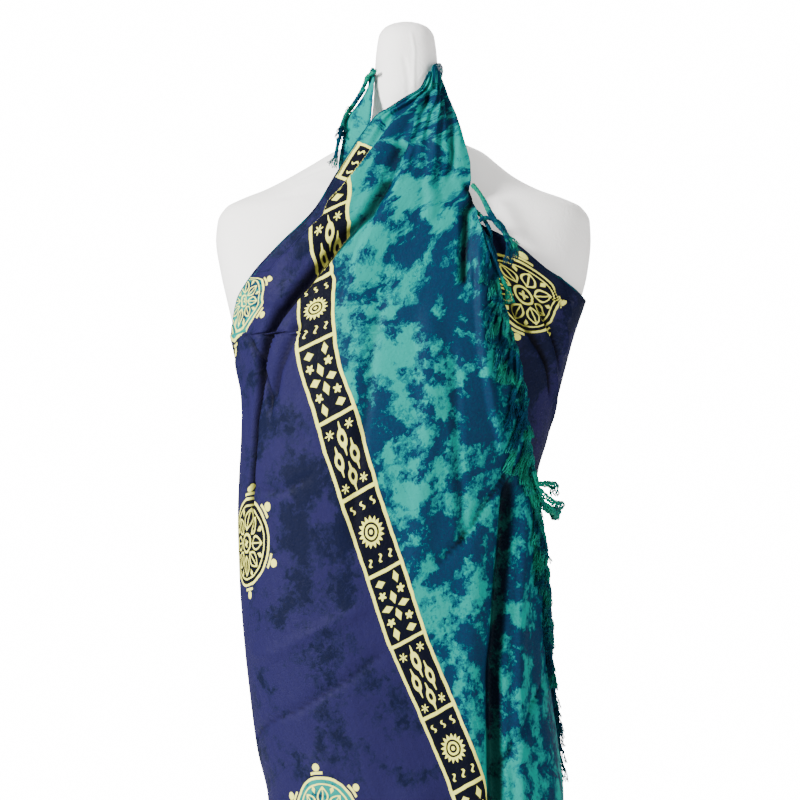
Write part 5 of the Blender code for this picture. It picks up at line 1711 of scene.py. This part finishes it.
def outer_point(angle, z, lift):
    """Points lifted off whatever lies outermost at places round the body."""
    on_over = over_point(angle, z, lift)
    on_under = under_point(np.minimum(angle, 90.0), z, lift)
    on_back = back_point(np.maximum(angle, 90.0), z, lift)
    beneath = np.where((angle < 90)[..., None], on_under, on_back)
    return np.where((angle < over_end(z))[..., None], on_over, beneath)


def eased(path, rounds):
    """Path with its corners rounded off. Its ends stay."""
    for _ in range(rounds):
        path = np.concatenate([path[:1], (path[:-2] + 2 * path[1:-1] + path[2:]) / 4, path[-1:]])
    return path


def edge_cords():
    """Guide lines of the cords along the over layer's fringed end, and of their tufts."""
    rng = np.random.RandomState(41)
    cords, knots, tufts = [], [], []
    z = 1.318
    while z > 0.50:
        long, tuft_long = rng.uniform(0.040, 0.060), rng.uniform(0.016, 0.026)
        share = np.linspace(0, 1, 22)
        drift = rng.uniform(-0.010, 0.017) + (0.006 if z > 1.05 else 0.0)
        bow = rng.uniform(0.003, 0.011)
        wave, phase = rng.uniform(0.0010, 0.0034), rng.uniform(0, 6.28)
        whole = long + tuft_long
        across = bow * np.sin(np.pi * np.minimum(share * 1.15, 1)) + drift * share**1.3
        across = across + wave * np.sin(2 * np.pi * share * rng.uniform(1.2, 2.6) + phase) * share
        heights = z - whole * (0.10 * share + 0.90 * share**1.25) + wave * np.sin(9 * share + phase) * share
        angles = over_end(z) + np.degrees(across / arc_radius(z))
        arch = rng.uniform(0.0018, 0.0060) * np.sin(np.pi * np.minimum(share * 1.4, 1))
        lift = 0.0008 + arch + 0.0026 * share
        path = eased(outer_point(angles, heights, lift), 5)
        cut = int(round(22 * long / whole))
        cords.append(resampled(path[:cut], 34))
        knots.append(knot_guide(path[cut - 1], path[cut - 1] - path[cut - 2]))
        tufts.append(resampled(path[cut - 1:], 12))
        z -= rng.uniform(0.0075, 0.0105)
    return cords, knots, tufts


# Cords that stand out at the fringed end: how far each is lifted off the body, and its path as (x, z)
STANDING_CORDS = (
    (0.013, (
        (0.0730, 1.3440), (0.0800, 1.3360), (0.0872, 1.3247), (0.0935, 1.3132), (0.1008, 1.3016),
        (0.1100, 1.2869), (0.1176, 1.2740), (0.1160, 1.2640),
    )),
    (0.012, (
        (0.0740, 1.3440), (0.0812, 1.3345), (0.0868, 1.3230), (0.0916, 1.3120), (0.0980, 1.3030),
        (0.1075, 1.2910), (0.1120, 1.2760), (0.1100, 1.2590),
    )),
    (0.012, (
        (0.0810, 1.3060), (0.0860, 1.3090), (0.0935, 1.3079), (0.1008, 1.3047), (0.1060, 1.2985),
        (0.1092, 1.2911), (0.1150, 1.2840), (0.1190, 1.2780),
    )),
    (0.011, (
        (0.0835, 1.2953), (0.0892, 1.2837), (0.0945, 1.2701), (0.0998, 1.2554), (0.1060, 1.2407),
        (0.1110, 1.2300), (0.1120, 1.2180),
    )),
    (0.015, (
        (0.1310, 1.1210), (0.1280, 1.1031), (0.1333, 1.0821), (0.1302, 1.0611), (0.1376, 1.0401),
        (0.1390, 1.0280),
    )),
    (0.016, ((0.1407, 0.9790), (0.1418, 0.9720), (0.1450, 0.9660), (0.1500, 0.9600), (0.1530, 0.9480))),
)
# The open tassel that stands out at the right side, in the same columns
SIDE_TASSEL = (
    (0.020, (
        (0.1365, 1.0500), (0.1386, 1.0400), (0.1400, 1.0280), (0.1449, 1.0150), (0.1565, 1.0034),
        (0.1680, 0.9992), (0.1764, 1.0055),
    )),
    (0.024, (
        (0.1375, 1.0440), (0.1400, 1.0340), (0.1449, 1.0240), (0.1554, 1.0139), (0.1659, 1.0076),
        (0.1785, 1.0076),
    )),
    (0.022, ((0.1380, 1.0420), (0.1418, 1.0310), (0.1512, 1.0307), (0.1607, 1.0276), (0.1600, 1.0190))),
    (0.018, (
        (0.1370, 1.0460), (0.1392, 1.0330), (0.1420, 1.0210), (0.1480, 1.0080), (0.1600, 0.9990),
        (0.1700, 0.9960),
    )),
)
# Cords of the under layer's fringed end beside the neck, in the same columns
NECK_CORDS = (
    (0.0050, (
        (-0.0285, 1.4660), (-0.0370, 1.4610), (-0.0405, 1.4530), (-0.0420, 1.4470), (-0.0480, 1.4400),
        (-0.0530, 1.4310), (-0.0560, 1.4250),
    )),
    (0.0045, (
        (-0.0400, 1.4480), (-0.0480, 1.4410), (-0.0520, 1.4320), (-0.0580, 1.4260), (-0.0630, 1.4210),
        (-0.0620, 1.4120), (-0.0640, 1.4000),
    )),
    (0.0040, (
        (-0.0570, 1.4230), (-0.0620, 1.4130), (-0.0645, 1.4000), (-0.0680, 1.3850), (-0.0700, 1.3720),
        (-0.0745, 1.3640),
    )),
    (0.0055, (
        (-0.0360, 1.4600), (-0.0445, 1.4480), (-0.0470, 1.4400), (-0.0560, 1.4300), (-0.0600, 1.4180),
        (-0.0640, 1.4060), (-0.0660, 1.3930),
    )),
)


def lifted_path(lift, path):
    """Points of a path of (x, z), lifted this far off the body."""
    x, z = np.array(path).T
    return body_point(WRAP_TABLE, angle_at(x, z, lift), z, lift)


def standing_guides(table, cord_share):
    """Guide lines from a table of cords, split into the cord, its knot and its tuft."""
    cords, knots, tufts = [], [], []
    for lift, path in table:
        points = resampled(lifted_path(lift, path), 60)
        cut = int(60 * cord_share)
        cords.append(points[:cut])
        knots.append(knot_guide(points[cut - 1], points[cut - 1] - points[cut - 2]))
        tufts.append(points[cut - 1:][::2])
    return cords, knots, tufts


def tail_cords(side, length):
    """Guide lines of the cords along a loose end's lower edge."""
    rng = np.random.RandomState(7 + side)
    cords, knots, tufts = [], [], []
    for share in np.linspace(0.04, 0.96, 11):
        root = tail_points(side, share, 1.0, length)
        down = np.linspace(0, 1, 24)
        long = rng.uniform(0.058, 0.074)
        sway, phase = rng.uniform(0.001, 0.003), rng.uniform(0, 6.28)
        x = root[0] + sway * (np.sin(5 * down + phase) - np.sin(phase)) + side * 0.004 * down
        z = root[2] - long * down
        y = np.maximum(root[1], FORM_TABLE(z)[3] + 0.0045)
        path = eased(np.stack([x, y, z], axis=-1), 3)
        cords.append(resampled(path[:16], 34))
        knots.append(knot_guide(path[15], path[15] - path[14]))
        tufts.append(resampled(path[15:], 12))
    return cords, knots, tufts


def fringe(name, tree, guides, material, replaced, cord=CORD):
    """Cords, knots and tufts of one fringed edge."""
    cords, knots, tufts = guides
    strands_along(name + "_cords", tree, cords, cord, material, replaced)
    strands_along(name + "_knots", tree, knots, KNOT, material)
    strands_along(name + "_tufts", tree, tufts, TUFT, material)


HEM = {"Strands": 1, "Strand Radius": 0.00085, "Start Spread": 0.0, "End Spread": 0.0,
       "Twists Per Metre": 0.0, "Crinkle": 0.0, "Sides": 8}
# The roll's middle lies this far within the cloth's outer face
HEM_SINK = 0.0005
STITCH_INSET = 0.0032
STITCH_PITCH = 0.0034


def stitch_nodes(stitch):
    """Nodes that set one stitch after another along guide lines, each turned to follow them."""
    tree = bpy.data.node_groups.new("stitches_along", "GeometryNodeTree")
    labels = (("Geometry", "NodeSocketGeometry"), ("Pitch", FLOAT), ("Material", "NodeSocketMaterial"))
    for label, kind in labels:
        tree.interface.new_socket(name=label, in_out="INPUT", socket_type=kind)
    tree.interface.new_socket(name="Geometry", in_out="OUTPUT", socket_type="NodeSocketGeometry")
    nodes, links = tree.nodes, tree.links
    given = nodes.new("NodeGroupInput").outputs
    curves = nodes.new("GeometryNodeMeshToCurve")
    links.new(given["Geometry"], curves.inputs["Mesh"])
    places = nodes.new("GeometryNodeCurveToPoints")
    places.mode = "LENGTH"
    links.new(curves.outputs["Curve"], places.inputs["Curve"])
    links.new(given["Pitch"], places.inputs["Length"])
    shape = nodes.new("GeometryNodeObjectInfo")
    shape.inputs["Object"].default_value = stitch
    copies = nodes.new("GeometryNodeInstanceOnPoints")
    links.new(places.outputs["Points"], copies.inputs["Points"])
    links.new(places.outputs["Rotation"], copies.inputs["Rotation"])
    links.new(shape.outputs["Geometry"], copies.inputs["Instance"])
    real = nodes.new("GeometryNodeRealizeInstances")
    links.new(copies.outputs["Instances"], real.inputs["Geometry"])
    dressed = nodes.new("GeometryNodeSetMaterial")
    links.new(real.outputs["Geometry"], dressed.inputs["Geometry"])
    links.new(given["Material"], dressed.inputs["Material"])
    links.new(dressed.outputs["Geometry"], nodes.new("NodeGroupOutput").inputs["Geometry"])
    return tree


def one_stitch():
    """A short rounded stitch that lies along its own Z axis."""
    bm = bmesh.new()
    bmesh.ops.create_uvsphere(bm, u_segments=6, v_segments=4, radius=0.00028)
    bmesh.ops.scale(bm, vec=(1.0, 1.0, 4.2), verts=bm.verts)
    mesh = bpy.data.meshes.new("one_stitch")
    bm.to_mesh(mesh)
    bm.free()
    item = bpy.data.objects.new("one_stitch", mesh)
    bpy.context.scene.collection.objects.link(item)
    return item


def hems(bundle, cloth, thread):
    """Rolled hems along the cloth's cut edges, and the row of stitches beside each."""
    down = np.linspace(LEFT_ARMHOLE + 0.001, OVER_TOP - 0.004, 150)
    side = np.linspace(RIGHT_ARMHOLE + 0.001, 1.436, 150)
    round_front = np.linspace(-89.5, 88.0, 150)
    round_back = np.linspace(90.5, 269.5, 150)
    under_front = np.linspace(-20.0, 89.0, 110)
    behind_top = RIGHT_ARMHOLE + (LEFT_ARMHOLE - RIGHT_ARMHOLE) * (round_back - 90) / 180
    over_bottom = OVER_HEM_TABLE(round_front)[0]
    under_bottom = UNDER_HEM_TABLE(under_front)[0]
    back_bottom = BACK_HEM_TABLE(round_back)[0]
    edges = (
        ("neckline", over_point, over_left(down), down, 1.6, 0.0),
        ("right_armhole", under_point, under_right(side), side, -1.4, 0.0),
        ("back_top", back_point, round_back, behind_top, 0.0, -STITCH_INSET),
        ("front_bottom", over_point, round_front, over_bottom, 0.0, STITCH_INSET),
        ("under_bottom", under_point, under_front, under_bottom, 0.0, STITCH_INSET),
        ("back_bottom", back_point, round_back, back_bottom, 0.0, STITCH_INSET),
    )
    pattern = one_stitch()
    stitches = stitch_nodes(pattern)
    for name, face, angle, z, aside, above in edges:
        edge = resampled(face(angle, z, -HEM_SINK), 220)
        beside = resampled(face(angle + aside, z + above), 220)
        strands_along(name + "_hem", bundle, [edge], HEM, cloth)
        strands_along(name + "_stitches", stitches, [beside], {"Pitch": STITCH_PITCH}, thread)
    bpy.data.objects.remove(pattern)


# Room and camera: lengths in metres, and how bright the background is to the camera and to the piece
FLOOR_SIZE = 16.0
BACKGROUND_WHITE = 16.0
ROOM_LIGHT = 0.30
CAMERA_DISTANCE = 6.0
FRAME_SIZE = 0.84
FRAME_MIDDLE_X = -0.0021
FRAME_MIDDLE_HEIGHT = 1.1189


def floor_piece():
    """Plain pale floor that fades to white far away."""
    across = np.array([-FLOOR_SIZE / 2, FLOOR_SIZE / 2])
    x, y = np.meshgrid(across, across)
    mesh = grid_mesh("studio_floor", np.stack([x, y, np.zeros((2, 2))], axis=-1))
    mesh.flip_normals()
    material, tree, shader = blank_material("pale_floor")
    place = place_of(tree)
    grain = noise(tree, place, 40.0, 3.0)[0]
    colour = blend_colours(tree, grain, srgb(246, 246, 246), srgb(250, 250, 250))
    tree.links.new(colour, shader.inputs["Base Color"])
    shader.inputs["Roughness"].default_value = 0.9
    x, y, _ = split(tree, place)
    seen = Numbers(tree, tree.nodes.new("ShaderNodeLightPath").outputs["Is Camera Ray"])
    far = x.length_with(y).rise(0.9, 4.5) * seen
    shader.inputs["Emission Color"].default_value = (1, 1, 1, 1)
    tree.links.new((far * BACKGROUND_WHITE).socket, shader.inputs["Emission Strength"])
    mesh.materials.append(material)
    item = bpy.data.objects.new("studio_floor", mesh)
    bpy.context.scene.collection.objects.link(item)


def soft_light(name, place, aim, size, power):
    """Square soft box that faces a point."""
    light = bpy.data.lights.new(name, "AREA")
    light.shape = "RECTANGLE"
    light.size, light.size_y = size
    light.energy = power
    item = bpy.data.objects.new(name, light)
    item.location = place
    item.rotation_euler = (Vector(aim) - Vector(place)).to_track_quat("-Z", "Y").to_euler()
    bpy.context.scene.collection.objects.link(item)


def lights():
    """Plain soft studio light from the front, a little from the left and above, in a white room."""
    soft_light("key_light", (-2.5, -1.9, 2.4), (0, 0, 1.15), (0.7, 0.8), 360)
    soft_light("fill_light", (2.2, -1.9, 1.5), (0, 0, 1.05), (1.6, 2.0), 60)
    soft_light("back_light", (0.6, 2.9, 2.3), (0, 0, 0.9), (1.6, 2.0), 120)
    soft_light("top_light", (0.0, 0.3, 3.4), (0, 0, 1.2), (1.8, 1.8), 24)
    world = bpy.data.worlds.new("studio")
    world.use_nodes = True
    tree = world.node_tree
    background = tree.nodes["Background"]
    background.inputs["Color"].default_value = (1, 1, 1, 1)
    seen = Numbers(tree, tree.nodes.new("ShaderNodeLightPath").outputs["Is Camera Ray"])
    strength = seen * (BACKGROUND_WHITE - ROOM_LIGHT) + ROOM_LIGHT
    tree.links.new(strength.socket, background.inputs["Strength"])
    bpy.context.scene.world = world


def camera():
    """Camera straight in front at chest height, as in the photograph."""
    data = bpy.data.cameras.new("camera")
    item = bpy.data.objects.new("camera", data)
    data.sensor_width = 36.0
    data.lens = 36.0 * CAMERA_DISTANCE / FRAME_SIZE
    item.location = (FRAME_MIDDLE_X, -CAMERA_DISTANCE - 0.05, FRAME_MIDDLE_HEIGHT)
    item.rotation_euler = (math.pi / 2, 0, 0)
    bpy.context.scene.collection.objects.link(item)
    bpy.context.scene.camera = item


def main():
    """Build every material and piece."""
    groups = {
        "tie_dye": tie_dye_group(),
        "band": stamped_band_group(),
        "rosettes": rosette_group(),
        "weave": weave_group(),
        "creases": crease_group(),
    }
    rayon = dyed_rayon(groups)
    yarn = fringe_yarn(groups)
    jersey = white_jersey(groups)
    enamel, steel = white_enamel(), brushed_steel()

    camera()
    floor_piece()
    lights()
    form = torso(jersey)
    stand(enamel, steel)
    over, left_side = over_sheet(rayon)
    under, right_side = under_sheet(rayon)
    back = back_sheet(rayon, right_side, left_side)
    over_top = over_point((over_left(OVER_TOP) + over_end(OVER_TOP)) / 2, OVER_TOP)
    under_top = under_point((under_left(UNDER_TOP) + under_right(UNDER_TOP)) / 2, UNDER_TOP)
    right_end, left_end = (0.0200, 0.0560, KNOT_HEIGHT), (-0.0105, 0.0560, KNOT_HEIGHT)
    gathered_tie("neck_tie_right", over_top, 1, right_end, ["tie_right"], 0.10, rayon)
    gathered_tie("neck_tie_left", under_top, -1, left_end, ["tie_left"], 1.30, rayon)
    neck_knot(rayon)
    loose_end("loose_end_right", 1, RIGHT_TAIL_LENGTH, ["tail_right"], rayon)
    loose_end("loose_end_left", -1, LEFT_TAIL_LENGTH, ["tail_left"], rayon)
    bundle = yarn_bundle_nodes()
    fringe("edge_fringe", bundle, edge_cords(), yarn, ["fringe_over"])
    fringe("standing_fringe", bundle, standing_guides(STANDING_CORDS, 0.72), yarn, [], THICK_CORD)
    tassel = [resampled(lifted_path(lift, path), 90) for lift, path in SIDE_TASSEL]
    strands_along("side_tassel", bundle, tassel, TASSEL, yarn)
    fringe("neck_fringe", bundle, standing_guides(NECK_CORDS, 0.86), yarn, ["fringe_under"], THICK_CORD)
    fringe("right_end_fringe", bundle, tail_cords(1, RIGHT_TAIL_LENGTH), yarn, ["tail_fringe_right"])
    fringe("left_end_fringe", bundle, tail_cords(-1, LEFT_TAIL_LENGTH), yarn, ["tail_fringe_left"])
    hems(bundle, hem_roll(), yarn)


main()
